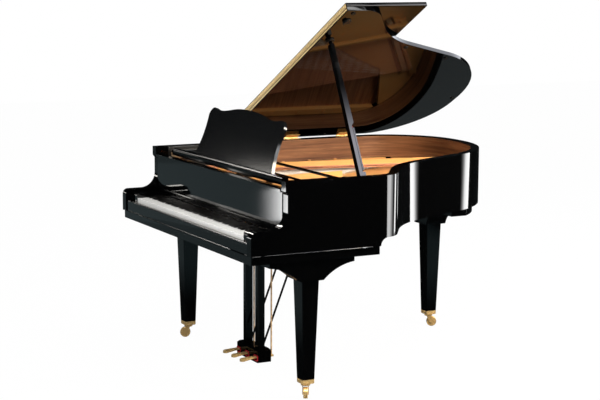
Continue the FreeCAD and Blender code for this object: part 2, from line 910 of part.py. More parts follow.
frame_low = rim_low_front + action_gap
key_rest = key_low - rail_gap
frame_pieces = [box(-action_half, action_half, front_rail[0], front_rail[1], frame_low, front_rail_top)]
balance = box(-action_half, action_half, balance_y - balance_half, balance_y + balance_half,
              frame_low, balance_top)
bead = box(-action_half, action_half, balance_y - balance_bead, balance_y + balance_bead, balance_top,
           key_rest)
frame_pieces.append(balance.fuse(bead).removeSplitter())
frame_pieces.append(box(-action_half, action_half, back_rail[0], back_rail[1], frame_low, key_rest))
for side in (-1, 0, 1):
    x = side * (action_half - sill_width / 2)
    frame_pieces.append(box(x - sill_width / 2, x + sill_width / 2, front_rail[1],
                            balance_y - balance_half,
                            frame_low, sill_top))
    frame_pieces.append(box(x - sill_width / 2, x + sill_width / 2, balance_y + balance_half,
                            back_rail[0],
                            frame_low, sill_top))
hammer_rail_face = hammer_pivot_y - hammer_rail_gap
hammer_rail_low = hammer_pivot_z - hammer_rail_drop
rail_front = hammer_rail_face - hammer_rail_depth
frame_pieces.append(box(-action_half, action_half, rail_front, hammer_rail_face, hammer_rail_low,
                        hammer_rail_low + hammer_rail_height))
bracket_ring = [V(0, rail_front, bracket_low), V(0, bracket_leg, bracket_low),
                V(0, bracket_leg, key_rest),
                V(0, back_rail[1], key_rest), V(0, back_rail[1], bracket_low + bracket_heel),
                V(0, hammer_rail_face, hammer_rail_low), V(0, rail_front, hammer_rail_low)]
bracket_places = [break_x(low_note) for low_note in break_notes[:-1]]
bracket_places += [bracket_thickness / 2 - action_half, action_half - bracket_thickness / 2]
for x in bracket_places:
    plate_ring = [p + V(x - bracket_thickness / 2, 0, 0) for p in bracket_ring]
    frame_pieces.append(polygon(plate_ring, V(bracket_thickness, 0, 0)))
add("action_frame", *frame_pieces)

# Hammers, drawn in the striking position and dropped to rest
hammer_axis = V(0, hammer_pivot_y, hammer_pivot_z)
hammers = {"white_hammers": [], "black_hammers": []}
for note in range(1, note_count + 1):
    x = string_x(note) - hammer_width / 2
    crown = string_z(note) - string_radius(note) - hammer_gap
    low = hammer_pivot_z - hammer_tail
    shoulder = crown - hammer_shoulder
    left = [V(x, strike_y - hammer_half_depth, low), V(x, strike_y - hammer_half_depth, shoulder)]
    right = [V(x, strike_y + hammer_half_depth, shoulder), V(x, strike_y + hammer_half_depth, low)]
    head = prism([line(left[0], left[1]), arc(left[1], V(x, strike_y, crown), right[0]),
                  line(right[0], right[1]),
                  line(right[1], left[0])], V(hammer_width, 0, 0))
    shank = rod(shank_radius, V(string_x(note), hammer_pivot_y - shank_overrun, hammer_pivot_z),
                V(string_x(note), strike_y, hammer_pivot_z))
    hammer = turned(head.fuse(shank), hammer_axis, V(1, 0, 0), -hammer_drop)
    is_white = (first_semitone + note - 1) % semitones in white_steps
    hammers["white_hammers" if is_white else "black_hammers"].append(hammer)
for group, solids in hammers.items():
    add(group, *solids)

# Dampers: heads just above the strings, wires beside them, one lifting bar below
dampers = [box(-action_half, action_half, damper_bar[0], damper_bar[1], damper_bar_low, damper_bar_top)]
for note in range(1, damper_last + 1):
    low = string_z(note) + string_radius(note) + damper_seat_gap
    half = damper_half_bass if note <= bass_notes else damper_half_treble
    near = string_at(note, damper_front) + V(0, 0, low)
    far = string_at(note, damper_back) + V(0, 0, low)
    side = V(half, 0, 0)
    dampers.append(polygon([near - side, near + side, far + side, far - side], V(0, 0, damper_height)))
    beside = V(string_radius(note) + damper_wire_radius + damper_wire_gap, 0, 0)
    foot = string_at(note, damper_wire_y) + beside + V(0, 0, damper_bar_top)
    dampers.append(rod(damper_wire_radius, foot, V(foot.x, foot.y, low)))
add("dampers", *dampers)

# Fallboard with its lip and pivot pins
board_back = fallboard_front + fallboard_thickness
board = box(-fallboard_half, fallboard_half, fallboard_front, board_back, fallboard_low, fallboard_top)
lip = box(-fallboard_half, fallboard_half, fallboard_front - fallboard_lip, fallboard_front,
          fallboard_top - fallboard_lip_height, fallboard_top)
pivots = rod(fallboard_pin_radius, fallboard_axis - V(pin_reach, 0, 0),
             fallboard_axis + V(pin_reach, 0, 0))
add("fallboard", board.fuse([lip, pivots]).removeSplitter())

# Music desk: rails on the case, sliding tray, leaning panel and its stay
desk_rail = box(lined_half - desk_rail_width, lined_half, desk_rail_front, desk_rail_back, desk_rail_low,
                desk_rail_top)
add("desk_rails", desk_rail, mirror_x(desk_rail))

tray_lip = box(-tray_lip_half, tray_lip_half, tray_lip_front, tray_lip_back, tray_low, tray_lip_top)
lip_edges = [e for e in tray_lip.Edges if e.BoundBox.ZMin > tray_lip_top - edge_tolerance]
lip_edges = [e for e in lip_edges if e.BoundBox.XLength > tray_inner]
tray_lip = tray_lip.makeFillet(tray_lip_round, lip_edges)
tray_bars = [box(-tray_outer, tray_outer, tray_lip_back, tray_lip_back + tray_bar, tray_low,
                 tray_bar_top),
             box(-tray_outer, tray_outer, tray_back - tray_bar, tray_back, tray_low, tray_bar_top)]
for side in (-1, 1):
    x0 = min(side * tray_inner, side * tray_outer)
    tray_bars.append(box(x0, x0 + tray_outer - tray_inner, tray_lip_back, tray_back, tray_low,
                         tray_side_top))
stay_bar_back = stay_pivot_y - stay_thickness
stay_bar = box(-tray_inner, tray_inner, stay_bar_back - tray_bar / 2, stay_bar_back, tray_low,
               tray_bar_top)
stay_axis = V(0, stay_pivot_y, stay_pivot_z)
lug_in = stay_half + stay_side_gap
lugs = [box(lug_in, lug_in + stay_lug, stay_bar_back, stay_pivot_y + stay_thickness / 2, tray_low,
            tray_bar_top),
        box(-lug_in - stay_lug, -lug_in, stay_bar_back, stay_pivot_y + stay_thickness / 2, tray_low,
            tray_bar_top)]
stay_pin_end = V(lug_in + stay_lug / 2, 0, 0)
stay_pin = rod(stay_pin_radius, stay_axis - stay_pin_end, stay_axis + stay_pin_end)
for sign in (-1, 1):
    near = V(sign * (panel_foot_half + stay_side_gap), panel_pivot_y, panel_pivot_z)
    reach = panel_thickness / 2
    x0 = min(near.x, near.x + sign * panel_lug)
    lugs.append(box(x0, x0 + panel_lug, near.y - reach, near.y + reach, tray_bar_top, near.z + reach))
    lugs.append(rod(panel_pin_radius, V(sign * (panel_foot_half - panel_pin_length), near.y, near.z),
                    near + V(sign * panel_lug / 2, 0, 0)))
tray = tray_lip.fuse(tray_bars + [stay_bar] + lugs + [stay_pin]).removeSplitter()
add("desk_tray", tray)

panel_low_z = panel_pivot_z - panel_thickness / 2


def panel_point(half, height):
    return V(half, panel_pivot_y + height, panel_low_z)


def panel_shape():
    edge = panel_thickness / 2
    heel = panel_point(panel_foot_half, -edge)
    foot = panel_point(panel_foot_half, edge)
    waist = panel_point(panel_waist_half, panel_waist_height)
    ear = panel_point(panel_ear_half, panel_ear_height)
    crest = panel_point(panel_crest_half, panel_crest_height)
    ear_mid = panel_point((panel_ear_half * 3 + panel_crest_half) / 4,
                          (panel_ear_height + panel_crest_height * 3) / 4)
    dip = panel_point(panel_dip_half, panel_dip_height)
    crown = panel_point(0, panel_crown_height)
    flip = FreeCAD.Matrix()
    flip.A11 = -1
    top = [crest, dip,
           panel_point(panel_dip_half / 2, (panel_crown_height * 3 + panel_dip_height) / 4), crown]
    top += [flip.multiply(p) for p in reversed(top[:-1])]
    right = [line(heel, foot), arc(foot, waist, ear), arc(ear, ear_mid, crest)]
    left = [mirror_x(side) for side in right]
    edges = right + left + [curve(top), line(flip.multiply(heel), heel)]
    slab = Part.Face(Part.Wire(Part.__sortEdges__(edges))).extrude(V(0, 0, panel_thickness))
    bottom = [e for e in slab.Edges if e.BoundBox.YMax < heel.y + edge_tolerance]
    bottom = [e for e in bottom if e.BoundBox.XLength > panel_foot_half]
    slab = slab.makeFillet(edge - panel_edge_gap, bottom)
    for sign in (-1, 1):
        pin_end = V(sign * (panel_foot_half - panel_pin_length - panel_edge_gap), panel_pivot_y,
                    panel_pivot_z)
        pin_way = V(sign * 2 * panel_pin_length, 0, 0)
        slab = slab.cut(rod(panel_pin_radius + pivot_clearance, pin_end, pin_end + pin_way))
    return slab


panel_axis = V(0, panel_pivot_y, panel_pivot_z)
add("desk_panel", turned(panel_shape(), panel_axis, V(1, 0, 0), panel_raise))

stay = box(-stay_half, stay_half, stay_pivot_y - stay_thickness / 2, stay_pivot_y + stay_length,
           stay_pivot_z - stay_thickness / 2, stay_pivot_z + stay_thickness / 2)
stay = stay.makeFillet(stay_round, [e for e in stay.Edges if e.BoundBox.XLength > stay_half])
stay_bore_end = V(stay_half + cut_margin, 0, 0)
stay_bore = rod(stay_pin_radius + pivot_clearance, stay_axis - stay_bore_end, stay_axis + stay_bore_end)
add("desk_stay", turned(stay.cut(stay_bore), stay_axis, V(1, 0, 0), stay_raise))

# Lid and flap, drawn closed and then raised together about the spine axis
lid_low = rim_top + lid_gap
lid_top = lid_low + lid_thickness
lid_axis = V(-case_half - lid_axis_out, 0, rim_top + lid_gap / 2)
raise_axis = V(0, -1, 0)


def raised(solid):
    return turned(solid, lid_axis, raise_axis, lid_open_angle)


lid = case_prism(-lid_overhang, lid_front, lid_low, lid_top)
lid = lid.cut(box(left_far, -case_half, 0, 2 * case_length, lid_low - cut_margin, lid_top + cut_margin))
add("lid", raised(lid))

flap_axis_z = lid_top + flap_gap / 2
flap_axis = V(0, lid_front - strip_leaf - strip_axis_gap, flap_axis_z)
flap = box(-case_half, case_half + lid_overhang, lid_front, lid_front + flap_depth, lid_top + flap_gap,
           lid_top + flap_gap + lid_thickness)
add("lid_flap", raised(flap))

strip_left = -case_half + strip_margin
strip_right = case_half + lid_overhang - strip_margin
flap_strip = box(strip_left, strip_right, lid_front - strip_leaf, lid_front,
                 flap_axis_z + strip_knuckle + strip_margin / 4,
                 lid_top + flap_gap + lid_thickness - strip_margin)
add("flap_hinge_leaf", raised(flap_strip))

hinge_leaves = []
case_leaves = []
for index in range(butt_count):
    y = lid_front + butt_first + index * butt_pitch
    low = rim_top
    inner_x = -case_half + butt_leaf_width
    spine = V(lid_axis.x, y, lid_axis.z)
    reach = V(0, butt_leaf_half, 0)
    pin = rod(butt_pin_radius, spine - reach, spine + reach)
    core = V(0, butt_knuckle_half, 0)
    knuckle = rod(butt_knuckle_radius, spine - core, spine + core)
    leaf = box(-case_half, inner_x, y - butt_leaf_half, y + butt_leaf_half, low, low + leaf_thickness)
    tongue = box(lid_axis.x, -case_half, y - butt_knuckle_half, y + butt_knuckle_half, low,
                 low + leaf_thickness)
    case_leaves.append(leaf.fuse([tongue, knuckle, pin]).removeSplitter())
    lid_leaf = box(-case_half, inner_x, y - butt_leaf_half, y + butt_leaf_half,
                   lid_low - leaf_thickness, lid_low)
    for side in (-1, 1):
        near = spine + (core + V(0, butt_knuckle_gap, 0)) * side
        far = spine + reach * side
        y0 = min(near.y, far.y)
        y1 = max(near.y, far.y)
        ear = box(lid_axis.x, -case_half, y0, y1, lid_low - leaf_thickness, lid_low)
        lid_leaf = lid_leaf.fuse([ear, rod(butt_knuckle_radius, near, far)])
    hole_reach = V(0, butt_leaf_half + cut_margin, 0)
    hole = rod(butt_pin_radius + pivot_clearance, spine - hole_reach, spine + hole_reach)
    hinge_leaves.append(raised(lid_leaf.cut(hole).removeSplitter()))
add("lid_hinge_case_leaves", *case_leaves)
lid_strip = box(strip_left, strip_right, lid_front - strip_leaf, lid_front, lid_low + strip_margin,
                lid_top)
knuckle_line = rod(strip_knuckle, V(strip_left, flap_axis.y, flap_axis.z),
                   V(strip_right, flap_axis.y, flap_axis.z))
hinge_leaves.append(raised(lid_strip.fuse(knuckle_line).removeSplitter()))
add("lid_hinge_leaves", *hinge_leaves)

cup_places = [(case_half - side, lid_front + front) for side, front in zip(cup_from_side, cup_from_front)]
pads = []
for x, y in cup_places:
    disc = rod(cup_radius, V(x, y, lid_low - cup_thickness), V(x, y, lid_low))
    wall = rod(cup_radius, V(x, y, lid_low - cup_thickness - cup_wall_height),
               V(x, y, lid_low - cup_thickness))
    wall_hollow = rod(cup_radius - cup_wall, V(x, y, lid_low - 2 * cup_thickness - cup_wall_height),
                      V(x, y, lid_low))
    wall = wall.cut(wall_hollow)
    open_side = box(x - 2 * cup_radius, x + 2 * cup_radius, y - cup_radius / 2, y + 2 * cup_radius,
                    lid_low - 3 * cup_thickness, lid_low - cup_thickness)
    pads.append(raised(disc.fuse(wall.cut(open_side)).removeSplitter()))
bumper_places = [(case_half - rim_thickness / 2, lid_front + bumper_front_gap)]
for end, turn, _ in walk_outline(0)[bumper_skip_count:bumper_skip_count + bumper_count]:
    place = end + inward(turn) * (rim_thickness / 2)
    bumper_places.append((place.x, place.y))
bumper_places.append((rim_thickness / 2 - case_half, (lid_front + case_length) / 2))
for x, y in bumper_places:
    pads.append(raised(rod(bumper_radius, V(x, y, rim_top + bumper_gap), V(x, y, lid_low))))
add("lid_pads", *pads)

# Lid props: the long stick stands from its pivot on the treble rim to the first cup
cup_x, cup_y = cup_places[0]
tip = V(cup_x, cup_y, lid_low - cup_thickness - prop_tip_gap)
tip = FreeCAD.Placement(V(0, 0, 0), FreeCAD.Rotation(raise_axis, lid_open_angle), lid_axis).multVec(tip)
prop_length = (tip - prop_base).Length
prop_up = (tip - prop_base).normalize()
prop_wide = (V(0, 1, 0) - prop_up * prop_up.y).normalize()
prop_deep = prop_wide.cross(prop_up)
prop_frame = FreeCAD.Placement(prop_base, FreeCAD.Rotation(prop_deep, prop_wide, prop_up, "ZYX"))
fold_way = way_of(prop_fold_heading)
fold_axis = prop_up.cross(fold_way).normalize()
fold_angle = math.degrees(prop_up.getAngle(fold_way))

back = -prop_half_depth
shoulder = prop_length - prop_nose_length
prop_ring = [V(back, -prop_foot_half, -prop_foot), V(back, prop_foot_half, -prop_foot),
             V(back, prop_foot_half, prop_notch_low), V(back, prop_notch_edge, prop_notch_low),
             V(back, prop_notch_edge, prop_notch_high - prop_shoulder_half),
             V(back, prop_shoulder_half, prop_notch_high), V(back, prop_tip_half, shoulder),
             V(back, -prop_tip_half, shoulder), V(back, -prop_shoulder_half, prop_notch_high)]
stick = polygon(prop_ring, V(2 * prop_half_depth, 0, 0))
nose = rod(prop_nose_radius, V(0, 0, shoulder), V(0, 0, prop_length))
short_pivot = V(0, prop_notch_edge, short_prop_pivot)
short_pin = rod(short_prop_pin, short_pivot, short_pivot + V(0, short_prop_gap + short_prop_width, 0))
stick = stick.fuse([nose, short_pin])
stick.Placement = prop_frame
bore_reach = fold_axis * (3 * prop_foot_half)
bore = rod(prop_pin_radius + pivot_clearance, prop_base - bore_reach, prop_base + bore_reach)
add("lid_prop_long", stick.cut(bore))

short_left = prop_notch_edge + short_prop_gap
short_stick = box(-prop_half_depth, prop_half_depth, short_left, short_left + short_prop_width,
                  short_prop_low,
                  short_prop_low + short_prop_length)
short_bore = rod(short_prop_pin + pivot_clearance, short_pivot,
                 short_pivot + V(0, 2 * short_prop_width, 0))
short_stick = short_stick.cut(short_bore)
short_stick.Placement = prop_frame
add("lid_prop_short", short_stick)

to_rim = fold_axis if fold_axis.x > 0 else fold_axis * -1
rim_distance = (lined_half - prop_base.x) / to_rim.x
boss_foot = prop_base + to_rim * prop_boss_start
boss = rod(prop_boss_radius, boss_foot, prop_base + to_rim * (rim_distance + 2 * prop_boss_radius))
boss = boss.cut(box(lined_half - bracket_plate, case_width, 0, case_length, 0, 2 * rim_top))
bracket_front = prop_base.y + bracket_plate_start
bracket_top = rim_top - bracket_plate_drop
bracket = box(lined_half - bracket_plate, lined_half, bracket_front, bracket_front + bracket_plate_length,
              bracket_top - bracket_plate_height, bracket_top)
pin = rod(prop_pin_radius, prop_base - to_rim * (prop_boss_start - pivot_clearance), boss_foot)
catch_front = prop_base.y + catch_start
catch_top = rim_top - catch_drop
catch = box(lined_half - catch_depth, lined_half, catch_front, catch_front + catch_length,
            catch_top - catch_height, catch_top)
catch = catch.common(case_prism(rim_thickness + lining_thickness, 0, rim_low_back, rim_top))
add("prop_fittings", bracket.fuse([boss, pin]).removeSplitter(), catch)


# Legs: square, tapering towards the floor
def square(x, y, side, z):
    h = side / 2
    return Part.makePolygon([V(x - h, y - h, z), V(x + h, y - h, z), V(x + h, y + h, z),
                             V(x - h, y + h, z),
                             V(x - h, y - h, z)])


def leg(x, y, top):
    return Part.makeLoft([square(x, y, leg_foot_side, leg_low), square(x, y, leg_head_side, top)],
                         True, True)


leg_places = {"front_left": (-leg_x, leg_y), "front_right": (leg_x, leg_y),
              "rear": (rear_leg_x, rear_leg_y)}
leg_tops = {"front_left": leg_top, "front_right": leg_top, "rear": rear_leg_top}
for name, (x, y) in leg_places.items():
    add(name + "_leg", leg(x, y, leg_tops[name]))


def front_block(x):
    x0 = x - block_inner_half
    flat = leg_head_side / 2 + block_flat_margin
    thin = keybed_low - block_edge
    front = leg_y - block_front_reach
    rear = leg_y + block_front_reach

    def hollow_arc(y_out, y_in):
        middle = V(x0, (y_out + y_in) / 2, (thin + leg_top) / 2 + block_sag)
        return arc(V(x0, y_out, thin), middle, V(x0, y_in, leg_top))

    edges = [line(V(x0, front, keybed_low), V(x0, rear, keybed_low)),
             line(V(x0, rear, keybed_low), V(x0, rear, thin)),
             hollow_arc(rear, leg_y + flat),
             line(V(x0, leg_y + flat, leg_top), V(x0, leg_y - flat, leg_top)),
             hollow_arc(front, leg_y - flat), line(V(x0, front, thin), V(x0, front, keybed_low))]
    return Part.Face(Part.Wire(Part.__sortEdges__(edges))).extrude(V(2 * block_inner_half, 0, 0))


def rear_block():
    tail = case_prism(tail_plate_inset, 0, tail_plate_low, rim_low_back)
    tail = tail.cut(box(left_far, case_width, -case_width, tail_plate_front, 0, rim_top))
    tail = tail.cut(box(tail_plate_right, case_width, 0, 2 * case_length, 0, rim_top))
    board = box(rear_leg_x - tail_board_half, rear_leg_x + tail_board_half,
                rear_leg_y - tail_board_half_depth,
                rear_leg_y + tail_board_half_depth, tail_board_low, tail_plate_low)
    flat = leg_head_side / 2 + block_flat_margin
    y0 = rear_leg_y - block_inner_half
    wide = flat + tail_board_low - rear_leg_top

    def hollow_arc(side):
        out = V(rear_leg_x + side * wide, y0, tail_board_low)
        inner = V(rear_leg_x + side * flat, y0, rear_leg_top)
        middle = V(rear_leg_x + side * (flat + wide) / 2 - side * block_sag / 2, y0,
                   (tail_board_low + rear_leg_top) / 2 + block_sag / 2)
        return arc(out, middle, inner)

    edges = [line(V(rear_leg_x - wide, y0, tail_board_low), V(rear_leg_x + wide, y0, tail_board_low)),
             hollow_arc(1), hollow_arc(-1),
             line(V(rear_leg_x + flat, y0, rear_leg_top), V(rear_leg_x - flat, y0, rear_leg_top))]
    bracket_solid = Part.Face(Part.Wire(Part.__sortEdges__(edges))).extrude(V(0, 2 * block_inner_half, 0))
    return tail.fuse([board, bracket_solid]).removeSplitter()


add("leg_blocks", front_block(-leg_x), front_block(leg_x), rear_block())

# Casters: brass ferrule on each leg, swivelling fork, wheel on its axle
ferrules = []
swivel_joints = []
for name, heading in caster_headings.items():
    x, y = leg_places[name]
    h = ferrule_side / 2
    ferrule = box(x - h, x + h, y - h, y + h, ferrule_low, leg_low)
    low_edges = [e for e in ferrule.Edges if e.BoundBox.ZMax < ferrule_low + edge_tolerance]
    ferrule = ferrule.makeChamfer(ferrule_chamfer, low_edges)
    socket = rod(swivel_radius + pivot_clearance, V(x, y, ferrule_low - cut_margin),
                 V(x, y, ferrule_low + swivel_length + swivel_gap))
    ferrules.append(ferrule.cut(socket))
    ahead = way_of(-heading)
    side = V(ahead.y, -ahead.x, 0)
    hub = V(x, y, wheel_radius) + ahead * wheel_trail
    plate_top_z = ferrule_low - swivel_gap
    stem = rod(swivel_radius, V(x, y, plate_top_z), V(x, y, ferrule_low + swivel_length))
    disc = rod(swivel_plate_radius, V(x, y, swivel_plate_low), V(x, y, plate_top_z))
    cheeks = []
    for sign in (-1, 1):
        near = side * sign * (wheel_width / 2 + fork_gap)
        wide = side * sign * fork_cheek
        top_a = V(x, y, swivel_plate_low) + near - ahead * fork_half
        top_b = V(x, y, swivel_plate_low) + near + ahead * fork_half
        low_b = hub + near + ahead * fork_toe_half - V(0, 0, fork_toe_drop)
        low_a = hub + near - ahead * fork_toe_half - V(0, 0, fork_toe_drop)
        cheeks.append(polygon([top_a, top_b, low_b, low_a], wide))
    axle_end = side * (wheel_width / 2 + fork_gap + fork_cheek)
    axle = rod(axle_radius, hub - axle_end, hub + axle_end)
    add(name + "_caster_fork", stem.fuse([disc, axle] + cheeks).removeSplitter())
    half_width = side * (wheel_width / 2)
    wheel = rod(wheel_radius, hub - half_width, hub + half_width)
    wheel = wheel.makeFillet(wheel_crown,
                             [e for e in wheel.Edges if e.Curve.TypeId == "Part::GeomCircle"])
    wheel_bore = rod(axle_radius + pivot_clearance, hub - half_width * 2, hub + half_width * 2)
    add(name + "_caster_wheel", wheel.cut(wheel_bore))
    swivel_joints.append((name, V(x, y, plate_top_z), hub, side))
add("caster_ferrules", *ferrules)

# Lyre: two posts from a top block to the pedal box, steel braces, pedals with rods and trap levers
box_front = lyre_y - box_depth / 2
box_back = lyre_y + box_depth / 2
box_left = lyre_x - box_width / 2
box_right = lyre_x + box_width / 2
pedal_names = ("soft", "middle", "sustain")
pedal_places = [lyre_x + (index - 1) * pedal_pitch for index in range(3)]

pedal_box = box(box_left, box_right, box_front, box_back, box_low, box_high)
top_edges = [e for e in pedal_box.Edges if e.BoundBox.ZMin > box_high - edge_tolerance]
pedal_box = pedal_box.makeChamfer(box_chamfer, top_edges)
for x in pedal_places:
    half = pedal_neck_half + pedal_slot_side
    slot = box(x - half, x + half, box_front - cut_margin, box_back + cut_margin, pedal_slot_low,
               pedal_slot_high)
    pedal_box = pedal_box.cut(slot)
pedal_pin = rod(pedal_pin_radius, V(box_left + box_wall, pedal_pivot_y, pedal_pivot_z),
                V(box_right - box_wall, pedal_pivot_y, pedal_pivot_z))
add("pedal_box", pedal_box.fuse(pedal_pin).removeSplitter())

posts = []
for sign in (-1, 1):
    x = lyre_x + sign * post_pitch / 2
    h = post_side / 2
    post = box(x - h, x + h, lyre_y - h, lyre_y + h, box_high, top_block_low)
    posts.append(post.makeChamfer(post_chamfer,
                                  [e for e in post.Edges if e.BoundBox.ZLength > post_side]))
posts.append(box(lyre_x - top_block_half, lyre_x + top_block_half, top_block_front, top_block_back,
                 top_block_low,
                 keybed_low))
trap_axis = V(lyre_x, trap_pivot_y, trap_pivot_z)
for sign in (-1, 1):
    edge = lyre_x + sign * top_block_half
    x0 = min(edge, edge - sign * trap_cheek)
    posts.append(box(x0, x0 + trap_cheek, trap_pivot_y - trap_thickness, trap_pivot_y + trap_thickness,
                     trap_pivot_z - trap_thickness, top_block_low))
pin_half = V(top_block_half - trap_cheek, 0, 0)
posts.append(rod(trap_pin_radius, trap_axis - pin_half, trap_axis + pin_half))
add("lyre_posts", *posts)

braces = []
for sign in (-1, 1):
    x = lyre_x + sign * post_pitch / 2
    low = V(x, lyre_y + post_side / 2, lyre_brace_low_z)
    high = V(x, lyre_brace_top_y, keybed_low)
    overrun = (high - low).normalize() * cut_margin
    stem = rod(lyre_brace_radius, low - overrun, high + overrun)
    keep = box(x - cut_margin, x + cut_margin, low.y, case_length, box_high, keybed_low)
    keep = keep.cut(box(x - cut_margin, x + cut_margin, 0, top_block_back, top_block_low, keybed_low))
    braces.append(stem.common(keep))
add("lyre_braces", *braces)

rod_low = pedal_pivot_z + pedal_thickness / 2 + rod_gap
rod_high = trap_pivot_z - trap_thickness / 2 - rod_gap
for name, x in zip(pedal_names, pedal_places):
    low_z = pedal_pivot_z - pedal_thickness / 2
    high_z = pedal_pivot_z + pedal_thickness / 2
    neck_end = box_front - pedal_toe_half
    toe = pedal_tip_y + pedal_toe_half
    side_ring = [V(0, pedal_tail_y, low_z), V(0, pedal_tail_y, high_z), V(0, neck_end, high_z),
                 V(0, toe, high_z - pedal_droop / 2), V(0, pedal_tip_y, high_z - pedal_droop),
                 V(0, pedal_tip_y, low_z - pedal_droop), V(0, toe, low_z - pedal_droop),
                 V(0, neck_end, low_z)]
    side_cut = polygon([p + V(x - 2 * pedal_toe_half, 0, 0) for p in side_ring],
                       V(4 * pedal_toe_half, 0, 0))
    n = pedal_neck_half
    t = pedal_toe_half
    tail_left = V(x - n, pedal_tail_y, 0)
    tail_right = V(x + n, pedal_tail_y, 0)
    neck_left = V(x - n, neck_end, 0)
    neck_right = V(x + n, neck_end, 0)
    toe_left = V(x - t, toe, 0)
    toe_right = V(x + t, toe, 0)
    plan = [line(tail_left, neck_left), line(neck_left, toe_left),
            arc(toe_left, V(x, pedal_tip_y, 0), toe_right),
            line(toe_right, neck_right), line(neck_right, tail_right), line(tail_right, tail_left)]
    shape = prism(plan, V(0, 0, box_high)).common(side_cut)
    hole = rod(pedal_pin_radius + pivot_clearance, V(x - 2 * n, pedal_pivot_y, pedal_pivot_z),
               V(x + 2 * n, pedal_pivot_y, pedal_pivot_z))
    add(name + "_pedal", shape.cut(hole))
    add(name + "_pedal_rod", rod(rod_radius, V(x, rod_y, rod_low), V(x, rod_y, rod_high)))
    lever = box(x - trap_half, x + trap_half, trap_front, trap_back, trap_pivot_z - trap_thickness / 2,
                trap_pivot_z + trap_thickness / 2)
    lever_hole = rod(trap_pin_radius + pivot_clearance, V(x - 2 * trap_half, trap_pivot_y, trap_pivot_z),
                     V(x + 2 * trap_half, trap_pivot_y, trap_pivot_z))
    add(name + "_trap_lever", lever.cut(lever_hole))

# Set the origin on the floor under the middle of the whole piano and write each piece
outermost = ("outer_rim", "lid", "lid_flap", "flap_hinge_leaf", "lid_hinge_leaves",
             "lid_hinge_case_leaves",
             "front_left_caster_wheel", "rear_caster_wheel")
whole = FreeCAD.BoundBox()
for name in outermost:
    whole.add(nodes[name].optimalBoundingBox(False))
shift = V(-(whole.XMin + whole.XMax) / 2, -(whole.YMin + whole.YMax) / 2, -whole.ZMin)
for name, shape in nodes.items():
    placed = shape.copy()
    placed.translate(shift)
    placed.exportStep("parts/" + name + ".step")

print("shift", shift, "size", whole.XLength, whole.YLength, whole.ZLength)


def tell(name, place, axis):
    p = place + shift
    place_text = " ".join(str(round(value, 3)) for value in (p.x, p.y, p.z))
    axis_text = " ".join(str(round(value, 6)) for value in (axis.x, axis.y, axis.z))
    print("joint", name, place_text, axis_text)


tell("lid", lid_axis, raise_axis)
lid_turn = FreeCAD.Rotation(raise_axis, lid_open_angle)
flap_place = FreeCAD.Placement(V(0, 0, 0), lid_turn, lid_axis).multVec(flap_axis)
tell("flap", flap_place, lid_turn.multVec(V(1, 0, 0)))
tell("prop", prop_base, fold_axis)
print("prop fold angle", fold_angle, "length", prop_length)
tell("short_prop", prop_frame.multVec(short_pivot), prop_wide)
tell("desk_panel", panel_axis, V(-1, 0, 0))
tell("desk_stay", stay_axis, V(-1, 0, 0))
tell("fallboard", fallboard_axis, V(1, 0, 0))
tell("keys", V(0, balance_y, key_low), V(1, 0, 0))
tell("hammers", hammer_axis, V(1, 0, 0))
tell("trap", trap_axis, V(1, 0, 0))
for name, x in zip(pedal_names, pedal_places):
    tell(name + "_pedal", V(x, pedal_pivot_y, pedal_pivot_z), V(1, 0, 0))
for name, place, hub, side in swivel_joints:
    tell(name + "_swivel", place, V(0, 0, 1))
    tell(name + "_wheel", hub, side)
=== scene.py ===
import math
import bpy
import numpy as np
from mathutils import Matrix, Vector


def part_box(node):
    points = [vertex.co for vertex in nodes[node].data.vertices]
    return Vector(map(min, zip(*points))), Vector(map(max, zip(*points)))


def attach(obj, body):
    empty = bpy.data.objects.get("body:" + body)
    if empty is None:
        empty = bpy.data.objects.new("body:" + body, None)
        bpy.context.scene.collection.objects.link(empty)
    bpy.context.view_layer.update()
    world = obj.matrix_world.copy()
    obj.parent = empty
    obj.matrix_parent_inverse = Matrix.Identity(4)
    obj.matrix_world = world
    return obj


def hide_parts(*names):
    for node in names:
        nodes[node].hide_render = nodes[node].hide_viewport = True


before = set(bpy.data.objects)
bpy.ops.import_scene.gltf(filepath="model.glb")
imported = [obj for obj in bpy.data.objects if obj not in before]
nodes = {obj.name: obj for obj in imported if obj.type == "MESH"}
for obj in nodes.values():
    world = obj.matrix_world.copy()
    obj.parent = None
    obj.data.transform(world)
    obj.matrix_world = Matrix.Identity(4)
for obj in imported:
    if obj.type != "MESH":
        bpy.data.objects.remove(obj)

for spare in ("Cube", "Light", "Camera"):  # what a new Blender file holds
    if spare in bpy.data.objects:
        bpy.data.objects.remove(bpy.data.objects[spare])
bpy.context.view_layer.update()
print("frame loaded:", len(nodes), "nodes")


def rgba(red, green, blue):
    return (red, green, blue, 1.0)


